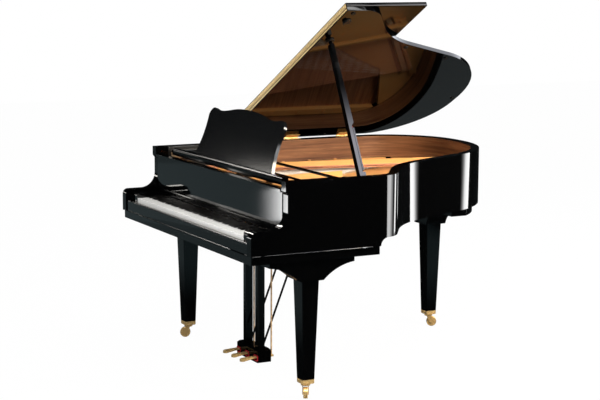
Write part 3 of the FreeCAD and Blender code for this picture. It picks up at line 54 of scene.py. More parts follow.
class Wire:
    # one socket of a node tree; sums and products of wires add Math nodes
    def __init__(self, tree, socket=None):
        self.tree = tree
        self.socket = socket

    def node(self, kind, settings=None, sockets=None, out=0):
        made = self.tree.nodes.new(kind)
        for key, value in (settings or {}).items():
            if key == "stops":
                ramp = made.color_ramp.elements
                ramp[0].position = value[0][0]
                ramp[1].position = value[-1][0]
                for stop in value[1:-1]:
                    ramp.new(stop[0])
                for step, stop in zip(ramp, value):
                    step.color = rgba(*stop[1])
            else:
                setattr(made, key, value)
        for key, value in (sockets or {}).items():
            if isinstance(value, Wire):
                self.tree.links.new(value.socket, made.inputs[key])
            else:
                made.inputs[key].default_value = value
        return Wire(self.tree, made.outputs[out] if len(made.outputs) else None)

    def calc(self, operation, first, second):
        return self.node("ShaderNodeMath", {"operation": operation}, {0: first, 1: second})

    def __add__(self, other):
        return self.calc("ADD", self, other)

    def __radd__(self, other):
        return self.calc("ADD", other, self)

    def __sub__(self, other):
        return self.calc("SUBTRACT", self, other)

    def __rsub__(self, other):
        return self.calc("SUBTRACT", other, self)

    def __mul__(self, other):
        return self.calc("MULTIPLY", self, other)

    def __rmul__(self, other):
        return self.calc("MULTIPLY", other, self)

    def over(self, limit):
        return self.calc("GREATER_THAN", self, limit)

    def clamp(self):
        return self.node("ShaderNodeClamp", {}, {"Value": self})

    def coords(self, scale=(1, 1, 1), turn=(0, 0, 0)):
        place = self.node("ShaderNodeTexCoord", out="Object")
        return self.node("ShaderNodeMapping", {}, {"Vector": place, "Scale": scale, "Rotation": turn})

    def axis(self, name):
        place = self.node("ShaderNodeTexCoord", out="Object")
        return self.node("ShaderNodeSeparateXYZ", {}, {"Vector": place}, name)

    def noise(self, scale, detail=2.0, rough=0.5, turn=(0, 0, 0)):
        # one scale for all three axes, or a scale for each
        stretched = isinstance(scale, tuple)
        place = self.coords(scale if stretched else (1, 1, 1), turn)
        size = 1.0 if stretched else scale
        return self.node("ShaderNodeTexNoise", {},
                         {"Vector": place, "Scale": size, "Detail": detail, "Roughness": rough}, "Fac")

    def blend(self, share, first, second):
        return self.node("ShaderNodeMix", {"data_type": "RGBA"}, {0: share, 6: first, 7: second}, 2)

    def ramp(self, share, stops):
        return self.node("ShaderNodeValToRGB", {"stops": stops}, {"Fac": share})

    def bump(self, height, depth):
        return self.node("ShaderNodeBump", {}, {"Height": height, "Distance": depth, "Strength": 1.0})

    def ray(self, name):
        return self.node("ShaderNodeLightPath", out=name)

    def emission(self, tint, strength):
        return self.node("ShaderNodeEmission", {}, {"Color": rgba(*tint), "Strength": strength})

    def background(self, tint):
        return self.node("ShaderNodeBackground", {}, {"Color": rgba(*tint), "Strength": 1.0})

    def either(self, share, first, second):
        return self.node("ShaderNodeMixShader", {}, {0: share, 1: first, 2: second})


def emptyTree(owner):
    owner.use_nodes = True
    owner.node_tree.nodes.clear()
    return Wire(owner.node_tree)


def makeFinish(name, recipe):
    material = bpy.data.materials.new(name)
    start = emptyTree(material)
    shader = start.node("ShaderNodeBsdfPrincipled", {}, recipe(start))
    start.node("ShaderNodeOutputMaterial", {}, {"Surface": shader})
    return material


lacquer = {"colour": rgba(0.0004, 0.0004, 0.0005), "haze": rgba(0.0012, 0.0013, 0.0014),
           "rough": 0.03, "roughSpread": 0.035, "waveScale": 5.0, "waveDepth": 0.00006,
           "dustScale": 700.0, "dustShare": 0.6, "ior": 1.5}


def blackLacquer(start):
    # polished polyester: long rubbing waves move the gloss, fine dust lifts the black a little
    wave = start.noise(lacquer["waveScale"])
    dust = start.noise(lacquer["dustScale"], detail=1.0)
    return {"Base Color": start.blend(dust * lacquer["dustShare"], lacquer["colour"], lacquer["haze"]),
            "Roughness": lacquer["rough"] + lacquer["roughSpread"] * wave,
            "IOR": lacquer["ior"], "Normal": start.bump(wave, lacquer["waveDepth"])}


# how strongly the thinner coats mirror
thinCoat = {"prop": 0.1, "lid": 0.12, "rim": 0.28}


def thinLacquer(level):
    # the same black with a thinner coat, which mirrors less
    def recipe(start):
        return {**blackLacquer(start), "Specular IOR Level": level}
    return recipe


satin = {"colour": rgba(0.003, 0.0032, 0.0035), "rubbed": rgba(0.006, 0.0065, 0.007), "rough": 0.1,
         "roughSpread": 0.06, "grain": (14.0, 220.0, 220.0), "depth": 0.00004, "ior": 1.48}


def satinBlack(start):
    # rubbed black: fine strokes along the width
    strokes = start.noise(satin["grain"], detail=3.0)
    return {"Base Color": start.blend(strokes, satin["colour"], satin["rubbed"]),
            "Roughness": satin["rough"] + satin["roughSpread"] * strokes,
            "IOR": satin["ior"], "Normal": start.bump(strokes, satin["depth"])}


veneer = {"tones": ((0.28, (0.085, 0.03, 0.013)), (0.5, (0.27, 0.115, 0.05)), (0.72, (0.48, 0.24, 0.11))),
          "grain": (1.6, 1.6, 46.0), "pores": (9.0, 9.0, 420.0), "poreTone": rgba(0.085, 0.03, 0.013),
          "poreLimit": 0.62, "poreShare": 0.5, "starts": -0.3, "black": rgba(0.002, 0.002, 0.002),
          "rough": 0.28, "roughSpread": 0.12, "depth": 0.0001, "ior": 1.5}


def brownVeneer(start):
    # sliced veneer laid lengthwise: bands that run level round the case, with short dark pores;
    # blackened beside the desk
    bands = start.noise(veneer["grain"], detail=5.0, rough=0.6)
    pores = start.noise(veneer["pores"])
    colour = start.ramp(bands, veneer["tones"])
    shade = start.blend(pores.over(veneer["poreLimit"]) * veneer["poreShare"], colour, veneer["poreTone"])
    bare = start.axis("Y").over(veneer["starts"])
    return {"Base Color": start.blend(bare, veneer["black"], shade),
            "Roughness": veneer["rough"] + veneer["roughSpread"] * pores,
            "IOR": veneer["ior"], "Normal": start.bump(pores, veneer["depth"])}


timber = {"tones": ((0.3, (0.33, 0.2, 0.1)), (0.5, (0.5, 0.33, 0.18)), (0.75, (0.64, 0.46, 0.27))),
          "grain": (70.0, 3.0, 70.0), "rough": 0.5, "roughSpread": 0.15, "depth": 0.00012}


def plainWood(start):
    # maple and beech: straight grain from front to back
    grain = start.noise(timber["grain"], detail=4.0, rough=0.55)
    return {"Base Color": start.ramp(grain, timber["tones"]),
            "Roughness": timber["rough"] + timber["roughSpread"] * grain,
            "Normal": start.bump(grain, timber["depth"])}


board = {"tones": ((0.35, (0.22, 0.075, 0.032)), (0.65, (0.46, 0.2, 0.085))), "turn": math.radians(40.0),
         "rings": (4.0, 260.0, 4.0), "rough": 0.3, "roughSpread": 0.1, "depth": 0.00008, "ior": 1.5}


def spruce(start):
    # quarter-sawn boards: fine straight rings that run slantwise under the strings
    rings = start.noise(board["rings"], rough=0.4, turn=(0, 0, board["turn"]))
    return {"Base Color": start.ramp(rings, board["tones"]),
            "Roughness": board["rough"] + board["roughSpread"] * rings,
            "IOR": board["ior"], "Normal": start.bump(rings, board["depth"])}


plate = {"low": rgba(0.7, 0.32, 0.08), "high": rgba(0.92, 0.5, 0.18), "sand": 260.0, "sandShare": 0.5,
         "cloud": 7.0, "cloudShare": 0.5, "metallic": 0.15, "rough": 0.36, "roughSpread": 0.14,
         "depth": 0.0003}


def goldIron(start):
    # bronze powder in clear varnish over sand-cast iron
    sand = start.noise(plate["sand"], detail=3.0)
    cloud = start.noise(plate["cloud"])
    mottle = cloud * plate["cloudShare"] + sand * plate["sandShare"]
    return {"Base Color": start.blend(mottle, plate["low"], plate["high"]), "Metallic": plate["metallic"],
            "Roughness": plate["rough"] + plate["roughSpread"] * sand,
            "Normal": start.bump(sand, plate["depth"])}


brassMetal = {"low": rgba(0.8, 0.52, 0.2), "high": rgba(0.93, 0.66, 0.3), "rough": 0.2, "roughSpread": 0.14,
              "strokes": (500.0, 90.0, 500.0), "depth": 0.00001, "metallic": 0.6}
stringMetal = {"low": rgba(0.62, 0.58, 0.5), "high": rgba(0.86, 0.83, 0.76), "rough": 0.25,
               "roughSpread": 0.14, "strokes": (60.0, 400.0, 60.0), "depth": 0.00002, "metallic": 0.3}
steelMetal = {"low": rgba(0.5, 0.5, 0.5), "high": rgba(0.72, 0.71, 0.69), "rough": 0.2, "roughSpread": 0.14,
              "strokes": (60.0, 400.0, 60.0), "depth": 0.00002, "metallic": 1.0}
blackMetal = {"low": rgba(0.012, 0.012, 0.012), "high": rgba(0.03, 0.03, 0.03), "rough": 0.3,
              "roughSpread": 0.14, "strokes": (90.0, 90.0, 30.0), "depth": 0.00003, "metallic": 1.0}


def metalFinish(metal):
    # strokes of polishing change the metal's tone and gloss a little
    def recipe(start):
        marks = start.noise(metal["strokes"], detail=3.0)
        return {"Base Color": start.blend(marks, metal["low"], metal["high"]), "Metallic": metal["metallic"],
                "Roughness": metal["rough"] + metal["roughSpread"] * marks,
                "Normal": start.bump(marks, metal["depth"])}
    return recipe


waveTurn = 20.0  # radians that Blender's wave texture turns through in a metre, at a scale of 1
winding = {"low": rgba(0.42, 0.15, 0.07), "high": rgba(0.78, 0.36, 0.2), "turnRate": 1400.0,
           "metallic": 1.0, "rough": 0.3, "roughSpread": 0.1, "depth": 0.0002}


def copperWire(start):
    # copper wound round the core: turns show as fine bands across the string, the darker part of each band
    # painted shade in the crease between turns
    turns = start.node("ShaderNodeTexWave", {"bands_direction": "Y"},
                       {"Vector": start.coords(), "Scale": winding["turnRate"] / waveTurn}, "Fac")
    # the low tone between turns is painted shade in the crease between them
    return {"Base Color": start.blend(turns, winding["low"], winding["high"]),
            "Metallic": winding["metallic"], "Roughness": winding["rough"] + winding["roughSpread"] * turns,
            "Normal": start.bump(turns, winding["depth"])}


coverEnd = -0.5  # Y where the key covers end, behind the fallboard's front
keyWood = {"light": rgba(0.6, 0.44, 0.26), "dark": rgba(0.42, 0.28, 0.15), "share": 0.5}
ivory = {"low": rgba(0.84, 0.83, 0.79), "high": rgba(0.9, 0.89, 0.86), "cloud": 40.0, "fine": 900.0,
         "grain": (300.0, 8.0, 300.0), "rough": 0.16, "roughSpread": 0.06, "bareRough": 0.35,
         "depth": 0.00003, "ior": 1.5}


def keyWhite(start):
    # moulded key covers over wooden keys
    cloud = start.noise(ivory["cloud"])
    fine = start.noise(ivory["fine"])
    grain = start.noise(ivory["grain"], detail=3.0)
    bare = start.axis("Y").over(coverEnd)
    cover = start.blend(cloud, ivory["low"], ivory["high"])
    woodTone = start.blend(grain * keyWood["share"], keyWood["light"], keyWood["dark"])
    return {"Base Color": start.blend(bare, cover, woodTone),
            "Roughness": ivory["rough"] + ivory["roughSpread"] * fine + bare * ivory["bareRough"],
            "IOR": ivory["ior"], "Normal": start.bump(fine, ivory["depth"])}


ebony = {"low": rgba(0.002, 0.0019, 0.0018), "high": rgba(0.005, 0.0046, 0.0042),
         "grain": (500.0, 12.0, 500.0), "rough": 0.2, "roughSpread": 0.08, "bareRough": 0.3,
         "specular": 0.2, "depth": 0.00002}


def keyBlack(start):
    # sharps: dense grain along the key under a low sheen, bare wood behind the fallboard
    grain = start.noise(ebony["grain"], detail=3.0)
    bare = start.axis("Y").over(coverEnd)
    cover = start.blend(grain, ebony["low"], ebony["high"])
    return {"Base Color": start.blend(bare, cover, keyWood["light"]),
            "Roughness": ebony["rough"] + ebony["roughSpread"] * grain + bare * ebony["bareRough"],
            "Specular IOR Level": ebony["specular"], "Normal": start.bump(grain, ebony["depth"])}


wool = {"low": rgba(0.2, 0.006, 0.01), "high": rgba(0.52, 0.03, 0.035), "fibre": 620.0, "fibreShare": 0.6,
        "tuft": 130.0, "tuftShare": 0.4, "rough": 0.95, "specular": 0.1, "depth": 0.0006}


def redFelt(start):
    # pressed wool: fibres at two sizes, no shine
    fibre = start.noise(wool["fibre"], detail=4.0, rough=0.7)
    tuft = start.noise(wool["tuft"])
    nap = wool["fibreShare"] * fibre + wool["tuftShare"] * tuft
    return {"Base Color": start.blend(nap, wool["low"], wool["high"]), "Roughness": wool["rough"],
            "Specular IOR Level": wool["specular"], "Normal": start.bump(nap, wool["depth"])}


# the heads are what stands higher than headFrom
hammer = {"feltLow": rgba(0.62, 0.59, 0.52), "feltHigh": rgba(0.83, 0.81, 0.75), "fibre": 700.0,
          "woodLow": rgba(0.4, 0.25, 0.12), "woodHigh": rgba(0.62, 0.44, 0.25), "grain": (90.0, 9.0, 90.0),
          "headFrom": 0.824, "rough": 0.6, "feltRough": 0.35, "depth": 0.0003}


def hammerFelt(start):
    # hammer heads are white felt, shanks are plain wood
    fibre = start.noise(hammer["fibre"], detail=3.0, rough=0.7)
    grain = start.noise(hammer["grain"], detail=3.0)
    head = start.axis("Z").over(hammer["headFrom"])
    feltTone = start.blend(fibre, hammer["feltLow"], hammer["feltHigh"])
    woodTone = start.blend(grain, hammer["woodLow"], hammer["woodHigh"])
    return {"Base Color": start.blend(head, woodTone, feltTone),
            "Roughness": hammer["rough"] + head * hammer["feltRough"],
            "Normal": start.bump(fibre, hammer["depth"])}


rubber = {"low": rgba(0.003, 0.003, 0.003), "high": rgba(0.008, 0.008, 0.008), "cloud": 300.0,
          "rough": 0.4, "roughSpread": 0.2, "specular": 0.2, "depth": 0.0001}


def rubberBlack(start):
    # moulded rubber, a little cloudy
    cloud = start.noise(rubber["cloud"], detail=3.0)
    return {"Base Color": start.blend(cloud, rubber["low"], rubber["high"]),
            "Roughness": rubber["rough"] + rubber["roughSpread"] * cloud,
            "Specular IOR Level": rubber["specular"], "Normal": start.bump(cloud, rubber["depth"])}


# axis is the hinge line's X and Z, line the painted shade line's edges square to the lid
hingeStrip = {"low": rgba(0.62, 0.4, 0.14), "high": rgba(0.95, 0.72, 0.36),
              "paintedGapShade": rgba(0.1, 0.045, 0.012), "slope": math.radians(28.4), "axis": (-0.0904, 1.366),
              "line": (-0.0085, -0.0042), "pitch": 0.014, "tickLimit": 0.18, "rubScale": 60.0,
              "rubShare": 0.3, "plainShare": 0.7, "metallic": 0.6, "rough": 0.26, "roughSpread": 0.1,
              "depth": 0.0002}


def hingeBrass(start):
    # long hinge: knuckles show as ticks along the strip, with painted shade in the gaps between them, and a
    # painted shade line where the leaf meets them
    tilted = start.coords(turn=(0, hingeStrip["slope"], 0))
    ticks = start.node("ShaderNodeTexWave", {"bands_direction": "X"},
                       {"Vector": tilted, "Scale": 2 * math.pi / waveTurn / hingeStrip["pitch"]}, "Fac")
    level = (hingeStrip["axis"][1] * math.cos(hingeStrip["slope"])
             - hingeStrip["axis"][0] * math.sin(hingeStrip["slope"]))
    above = start.node("ShaderNodeSeparateXYZ", {}, {"Vector": tilted}, "Z") - level
    line = above.over(hingeStrip["line"][0]) - above.over(hingeStrip["line"][1])
    rubbed = start.noise(hingeStrip["rubScale"])
    shine = hingeStrip["plainShare"] + hingeStrip["rubShare"] * rubbed
    # darker ticks: painted shade in the gaps between knuckles; rubbing lightens the brass's own tone a little
    tone = start.blend(ticks.over(hingeStrip["tickLimit"]) * shine, hingeStrip["low"], hingeStrip["high"])
    # the near-black line where the leaf meets the knuckles is painted shade in that gap
    return {"Base Color": start.blend(line, tone, hingeStrip["paintedGapShade"]), "Metallic": hingeStrip["metallic"],
            "Roughness": hingeStrip["rough"] + hingeStrip["roughSpread"] * rubbed,
            "Normal": start.bump(ticks, hingeStrip["depth"])}


finishes = {
    "black_lacquer": makeFinish("blackLacquer", blackLacquer),
    "prop_lacquer": makeFinish("propLacquer", thinLacquer(thinCoat["prop"])),
    "lid_lacquer": makeFinish("lidLacquer", thinLacquer(thinCoat["lid"])),
    "rim_lacquer": makeFinish("rimLacquer", thinLacquer(thinCoat["rim"])),
    "satin_black": makeFinish("satinBlack", satinBlack),
    "brown_veneer": makeFinish("brownVeneer", brownVeneer),
    "plain_wood": makeFinish("plainWood", plainWood),
    "spruce": makeFinish("spruce", spruce),
    "gold_iron": makeFinish("goldIron", goldIron),
    "steel": makeFinish("steel", metalFinish(steelMetal)),
    "string_wire": makeFinish("stringWire", metalFinish(stringMetal)),
    "hinge_brass": makeFinish("hingeBrass", hingeBrass),
    "copper": makeFinish("copperWire", copperWire),
    "brass": makeFinish("brass", metalFinish(brassMetal)),
    "key_white": makeFinish("keyWhite", keyWhite),
    "key_black": makeFinish("keyBlack", keyBlack),
    "felt": makeFinish("hammerFelt", hammerFelt),
    "black_steel": makeFinish("blackSteel", metalFinish(blackMetal)),
    "rubber": makeFinish("rubberBlack", rubberBlack),
    "red_felt": makeFinish("redFelt", redFelt),
}

# a node takes the finish named like its slot, apart from these
special = {"flap_hinge_leaf": "hinge_brass", "lid_hinge_leaves": "hinge_brass",
           "lid_prop_long": "prop_lacquer", "lid_prop_short": "prop_lacquer", "pedal_box": "prop_lacquer",
           "desk_tray": "lid_lacquer", "outer_rim": "rim_lacquer",
           "lid": "lid_lacquer", "lid_flap": "lid_lacquer"}
for piece in nodes.values():
    for place in piece.material_slots:
        place.material = finishes[place.material.name.split(".")[0]]
for nodeName, finishName in special.items():
    for place in nodes[nodeName].material_slots:
        place.material = finishes[finishName]
print("finishes given:", len(finishes))

# rounded edges, in metres, on the solids that show theirs
edgeRadius = {
    "outer_rim": 0.0025, "lid": 0.004, "lid_flap": 0.004, "keybed": 0.002, "key_slip": 0.004,
    "key_blocks": 0.003, "fallboard": 0.002, "stretcher": 0.002, "front_left_leg": 0.0025,
    "front_right_leg": 0.0025, "rear_leg": 0.0025, "leg_blocks": 0.002, "lyre_posts": 0.0025,
    "pedal_box": 0.002, "desk_panel": 0.002, "desk_tray": 0.0015, "desk_stay": 0.001,
    "lid_prop_long": 0.002, "lid_prop_short": 0.0015, "white_keys": 0.0008, "black_keys": 0.0012,
    "soft_pedal": 0.0015, "middle_pedal": 0.0015, "sustain_pedal": 0.0015, "prop_fittings": 0.0012,
    "iron_plate": 0.003, "rim_lining": 0.0015, "bridges": 0.0015,
}
rounding = {"sharperThan": math.radians(32.0), "mergeWithin": 0.00002, "segments": 3, "weight": 50}


def roundEdges(piece, radius):
    # the loose triangles are joined, then every edge sharper than the limit gets a small round
    joined = piece.modifiers.new("joined", "WELD")
    joined.merge_threshold = rounding["mergeWithin"]
    rounded = piece.modifiers.new("rounded", "BEVEL")
    rounded.width = radius
    rounded.segments = rounding["segments"]
    rounded.limit_method = "ANGLE"
    rounded.angle_limit = rounding["sharperThan"]
    rounded.use_clamp_overlap = True
    shaded = piece.modifiers.new("shaded", "WEIGHTED_NORMAL")
    shaded.mode = "FACE_AREA"
    shaded.weight = rounding["weight"]


for nodeName, radius in edgeRadius.items():
    roundEdges(nodes[nodeName], radius)
print("edges rounded:", len(edgeRadius))


def addPiece(name, points, faces, finish, body, smooth=True):
    mesh = bpy.data.meshes.new(name)
    mesh.from_pydata(points, [], faces)
    mesh.polygons.foreach_set("use_smooth", np.full(len(mesh.polygons), smooth))
    mesh.materials.append(finishes[finish])
    mesh.update()
    piece = bpy.data.objects.new(name, mesh)
    bpy.context.scene.collection.objects.link(piece)
    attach(piece, body)
    return piece


steepFrom = 0.9  # share of a path's direction along Z from which it counts as upright


def tubeSet(paths, radii, sides):
    # a ring of points around every point of every path, square to the path there:
    # point + radius * (cos * sideways + sin * upward); rings are joined in order and the ends closed
    count, steps = paths.shape[:2]
    along = np.gradient(paths, axis=1)
    along /= np.linalg.norm(along, axis=2, keepdims=True)
    steep = np.abs(along[..., 2:3]) > steepFrom
    lean = np.where(steep, np.array([1.0, 0.0, 0.0]), np.array([0.0, 0.0, 1.0]))
    sideways = np.cross(along, lean)
    sideways /= np.linalg.norm(sideways, axis=2, keepdims=True)
    upward = np.cross(sideways, along)
    angle = np.arange(sides) * 2 * math.pi / sides
    ring = (np.cos(angle)[:, None] * sideways[:, :, None, :]
            + np.sin(angle)[:, None] * upward[:, :, None, :])
    points = paths[:, :, None, :] + radii[..., None, None] * ring
    index = np.arange(count * steps * sides).reshape(count, steps, sides)
    after = np.roll(index, -1, axis=2)
    walls = np.stack([index[:, :-1], index[:, 1:], after[:, 1:], after[:, :-1]], axis=-1).reshape(-1, 4)
    ends = np.concatenate([index[:, 0], index[:, -1, ::-1]])
    return points.reshape(-1, 3), walls.tolist() + ends.tolist()


# strings: three to a note above the bass, in case millimetres moved to the frame
perMetre = 1000.0
scale = {"notes": 88, "bassNotes": 20, "whiteKeys": 52, "octaveKeys": 7, "octaveSpan": 164.96,
         "breaks": (0, 20, 44, 60, 75, 88), "pitch": 12.9003, "agraffeY": 385.0, "agraffeSweep": 27.0,
         "shortest": 58.0, "longest": 1057.03, "lean": 6.0, "hitch": 46.0, "height": 876.0,
         "wireRadius": 0.5, "wireSides": 6, "unison": (-2.2, 0.0, 2.2), "shift": (10.4666, -868.0)}
tuningPin = {"firstRow": 262.0, "rowGap": 24.0, "rows": 4, "step": 8.0, "radius": 3.4, "sides": 8,
             "foot": 868.0, "top": 901.0, "bevel": 0.8, "bevelShare": 0.8}


def stringPlan():
    # for each string: its place across the keyboard and its agraffe, the length that grows by equal
    # ratios from the highest note down, its sideways drift to a length, its pin, and its place in the note
    strand = np.sign(scale["unison"])
    upper = scale["notes"] - scale["bassNotes"]
    note = np.repeat(np.arange(scale["bassNotes"] + 1, scale["notes"] + 1), len(strand)).astype(float)
    strand = np.tile(strand, upper)
    half = scale["octaveSpan"] / scale["octaveKeys"] * scale["whiteKeys"] / 2
    breaks = np.array(scale["breaks"], dtype=float)
    section = np.searchsorted(breaks, note) - 1
    middle = (breaks[section] + breaks[section + 1]) / 2
    across = -half + middle * 2 * half / scale["notes"] + (note - 0.5 - middle) * scale["pitch"]
    share = (note - scale["bassNotes"]) / upper
    agraffe = scale["agraffeY"] + scale["agraffeSweep"] * share
    ratio = scale["longest"] / scale["shortest"]
    length = scale["shortest"] * ratio ** ((scale["notes"] - note) / (upper - 1))
    drift = np.tan(np.radians(scale["lean"] * (1 - share)))
    row = tuningPin["firstRow"] + tuningPin["rowGap"] * (note % tuningPin["rows"])
    pinY = row + tuningPin["step"] * strand
    return across + np.tile(scale["unison"], upper), agraffe, length, drift, pinY, strand


def toFrame(across, depth, height):
    return np.stack([across + scale["shift"][0], depth + scale["shift"][1],
                     np.broadcast_to(height, across.shape)], axis=-1) / perMetre


across, agraffe, length, drift, pinY, strand = stringPlan()
whole = length + scale["hitch"]
runs = np.stack([
    toFrame(across, pinY, scale["height"]),
    toFrame(across, agraffe, scale["height"]),
    toFrame(across - drift * length, agraffe + length, scale["height"]),
    toFrame(across - drift * whole, agraffe + whole, scale["height"]),
], axis=1)
wireRadii = np.full(runs.shape[:2], scale["wireRadius"] / perMetre)
points, faces = tubeSet(runs, wireRadii, scale["wireSides"])
unisons = addPiece("treble_unisons", points, faces, "string_wire", "case")
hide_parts("treble_strings")

outer = strand != 0  # the middle string's pin is a solid already
pinX = across[outer] + tuningPin["radius"] + scale["wireRadius"]
pinLevels = (tuningPin["foot"], tuningPin["top"] - tuningPin["bevel"], tuningPin["top"])
pinRun = np.stack([toFrame(pinX, pinY[outer], level) for level in pinLevels], axis=1)
pinRadii = np.array([1.0, 1.0, tuningPin["bevelShare"]]) * tuningPin["radius"] / perMetre
points, faces = tubeSet(pinRun, np.tile(pinRadii, (len(pinRun), 1)), tuningPin["sides"])
addPiece("unison_pins", points, faces, "steel", "case")
print("strings:", len(runs), "and", len(pinRun), "pins")


def cornerDirections(segments):
    # directions round a circle, the same number to each quarter and none along an axis
    turn = np.linspace(0, 2 * math.pi, 4 * segments, endpoint=False) + math.pi / (4 * segments)
    return np.stack([np.cos(turn), np.sin(turn)], axis=-1)


def ringPad(centre, pad):
    # a rounded rectangle carried round a small rounded section: the outline's normal times the
    # section's sideways part, plus the section's depth part along -Y
    dirs = cornerDirections(pad["segments"])
    core = np.sign(dirs) * (np.array(pad["half"]) - pad["corner"])
    turn = np.linspace(0, 2 * math.pi, pad["sides"], endpoint=False)
    sideways = pad["wall"] * np.sign(np.cos(turn)) * np.abs(np.cos(turn)) ** pad["power"]
    outward = pad["depth"] * np.sign(np.sin(turn)) * np.abs(np.sin(turn)) ** pad["power"]
    flat = core[:, None, :] + dirs[:, None, :] * (pad["corner"] + sideways)[None, :, None]
    points = np.stack([centre[0] + flat[..., 0], np.broadcast_to(centre[1] - outward, flat.shape[:2]),
                       centre[2] + flat[..., 1]], axis=-1)
    index = np.arange(points.shape[0] * points.shape[1]).reshape(points.shape[:2])
    nextRing = np.roll(index, -1, axis=0)
    faces = np.stack([index, np.roll(index, -1, axis=1), np.roll(nextRing, -1, axis=1), nextRing], axis=-1)
    return points.reshape(-1, 3), faces.reshape(-1, 4).tolist()


# red felt round each pedal where it leaves the box
pedalFelt = {"half": (0.0185, 0.0125), "corner": 0.006, "wall": 0.0025, "depth": 0.0022, "segments": 8,
             "sides": 10, "power": 0.6}
pedalNames = ("soft_pedal", "middle_pedal", "sustain_pedal")
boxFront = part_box("pedal_box")[0][1]
for pedalName in pedalNames:
    low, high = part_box(pedalName)
    points, faces = ringPad(((low[0] + high[0]) / 2, boxFront, (low[2] + high[2]) / 2), pedalFelt)
    addPiece(pedalName + "_felt", points, faces, "red_felt", "case")
print("felts:", len(pedalNames))


def barPiece(low, high, corner, segments=4):
    # a rounded rectangle in Y and Z carried along X and closed at both ends:
    # a corner's centre plus the corner radius times the direction
    dirs = cornerDirections(segments)
    middle = (np.array(low[1:]) + np.array(high[1:])) / 2
    half = (np.array(high[1:]) - np.array(low[1:])) / 2
    section = middle + np.sign(dirs) * (half - corner) + dirs * corner
    ends = np.array([low[0], high[0]])
    points = np.concatenate([np.broadcast_to(ends[:, None, None], (2, len(dirs), 1)),
                             np.broadcast_to(section, (2, len(dirs), 2))], axis=-1)
    index = np.arange(2 * len(dirs)).reshape(2, -1)
    after = np.roll(index, -1, axis=1)
    walls = np.stack([index[0], after[0], after[1], index[1]], axis=-1)[:, ::-1]
    return points.reshape(-1, 3), walls.tolist() + [index[0][::-1].tolist(), index[1].tolist()]


# the strip along the fallboard's foot, just over the sharps
footStrip = {"endGap": 0.009, "front": 0.003, "depth": 0.012, "drop": 0.0187, "lap": 0.002, "corner": 0.0015}
boardLow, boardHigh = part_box("fallboard")
stripFront = boardLow[1] + footStrip["front"]
points, faces = barPiece(
    (boardLow[0] + footStrip["endGap"], stripFront, boardLow[2] - footStrip["drop"]),
    (boardHigh[0] - footStrip["endGap"], stripFront + footStrip["depth"], boardLow[2] + footStrip["lap"]),
    footStrip["corner"])
addPiece("fallboard_strip", points, faces, "black_lacquer", "fallboard", False)

# red felt: a cushion between the short prop's tip and the notch, and a pad on the catch
cushion = {"foot": (0.674467, -0.272956, 0.938), "up": (-0.49896, 0.02662, 0.86622), "start": 0.2765,
           "end": 0.2845, "side": 0.0076, "radius": 0.0045, "steps": 3, "sides": 12}
cushionFoot = np.array(cushion["foot"]) + np.array([0.0, cushion["side"], 0.0])
along = np.linspace(cushion["start"], cushion["end"], cushion["steps"])[:, None]
cushionRun = cushionFoot + along * np.array(cushion["up"])
points, faces = tubeSet(cushionRun[None], np.full((1, cushion["steps"]), cushion["radius"]), cushion["sides"])
addPiece("prop_cushion", points, faces, "red_felt", "lid_prop_long")
catchPad = {"depth": 0.041, "wall": 0.022, "length": 0.024, "end": 0.001, "drop": 0.004, "rise": 0.003,
            "corner": 0.0012}
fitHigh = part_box("prop_fittings")[1]
points, faces = barPiece(
    (fitHigh[0] - catchPad["depth"], fitHigh[1] - catchPad["length"], fitHigh[2] - catchPad["drop"]),
    (fitHigh[0] - catchPad["wall"], fitHigh[1] - catchPad["end"], fitHigh[2] + catchPad["rise"]),
    catchPad["corner"])
addPiece("catch_felt", points, faces, "red_felt", "case", False)
print("prop felts: 2")

# a thin bead on each side of the case and across its front, level with the top of the keybed
bead = {"height": 0.673, "front": -0.866, "end": -0.27, "radius": 0.003, "steps": 8, "sides": 10,
        "endGap": 0.003}
rimLow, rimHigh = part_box("outer_rim")
slipLow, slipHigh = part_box("key_slip")
beadEnds = np.array([
    ((rimLow[0], bead["front"]), (rimLow[0], bead["end"])),
    ((rimHigh[0], bead["front"]), (rimHigh[0], bead["end"])),
    ((slipLow[0] + bead["endGap"], slipLow[1]), (slipHigh[0] - bead["endGap"], slipLow[1])),
])
beadPlan = np.linspace(beadEnds[:, 0], beadEnds[:, 1], bead["steps"], axis=1)
beadRuns = np.concatenate([beadPlan, np.full((*beadPlan.shape[:2], 1), bead["height"])], axis=-1)
points, faces = tubeSet(beadRuns, np.full(beadRuns.shape[:2], bead["radius"]), bead["sides"])
addPiece("case_beads", points, faces, "black_lacquer", "case")
print("beads:", len(beadRuns))

# floor: white to the camera, dim in the polish, with a lit field in front of the case and one on its right
floorPlan = {"half": 14.0, "height": 0.0, "paint": (0.8, 0.8, 0.8), "white": (1, 1, 1), "whiteShare": 0.985,
             "dim": 0.012, "dimTint": (0.8, 0.95, 1.0), "front": 0.14, "frontTint": (0.72, 0.95, 1.0),
             "frontFrom": -0.95, "frontFade": 2.5, "side": 0.2, "sideTint": (0.6, 0.92, 1.0),
             "sideFrom": -0.55, "sideSlope": 0.43, "fromFade": 5.0, "sideTo": 2.7, "toFade": 2.5,
             "sideDeep": 2.2, "deepFade": 2.5, "besideFade": 1.2}
floorMesh = bpy.data.meshes.new("floor")
floorMesh.from_pydata([(x * floorPlan["half"], y * floorPlan["half"], floorPlan["height"])
                       for x, y in ((-1, -1), (1, -1), (1, 1), (-1, 1))], [], [(0, 1, 2, 3)])
floor = bpy.data.objects.new("floor", floorMesh)
bpy.context.scene.collection.objects.link(floor)
floorPaint = bpy.data.materials.new("floorPaint")
start = emptyTree(floorPaint)
nearFront = ((floorPlan["frontFrom"] - start.axis("Y")) * floorPlan["frontFade"]).clamp()
slant = start.axis("Y") - start.axis("X") * floorPlan["sideSlope"]
beyond = ((slant - floorPlan["sideFrom"]) * floorPlan["fromFade"]).clamp()
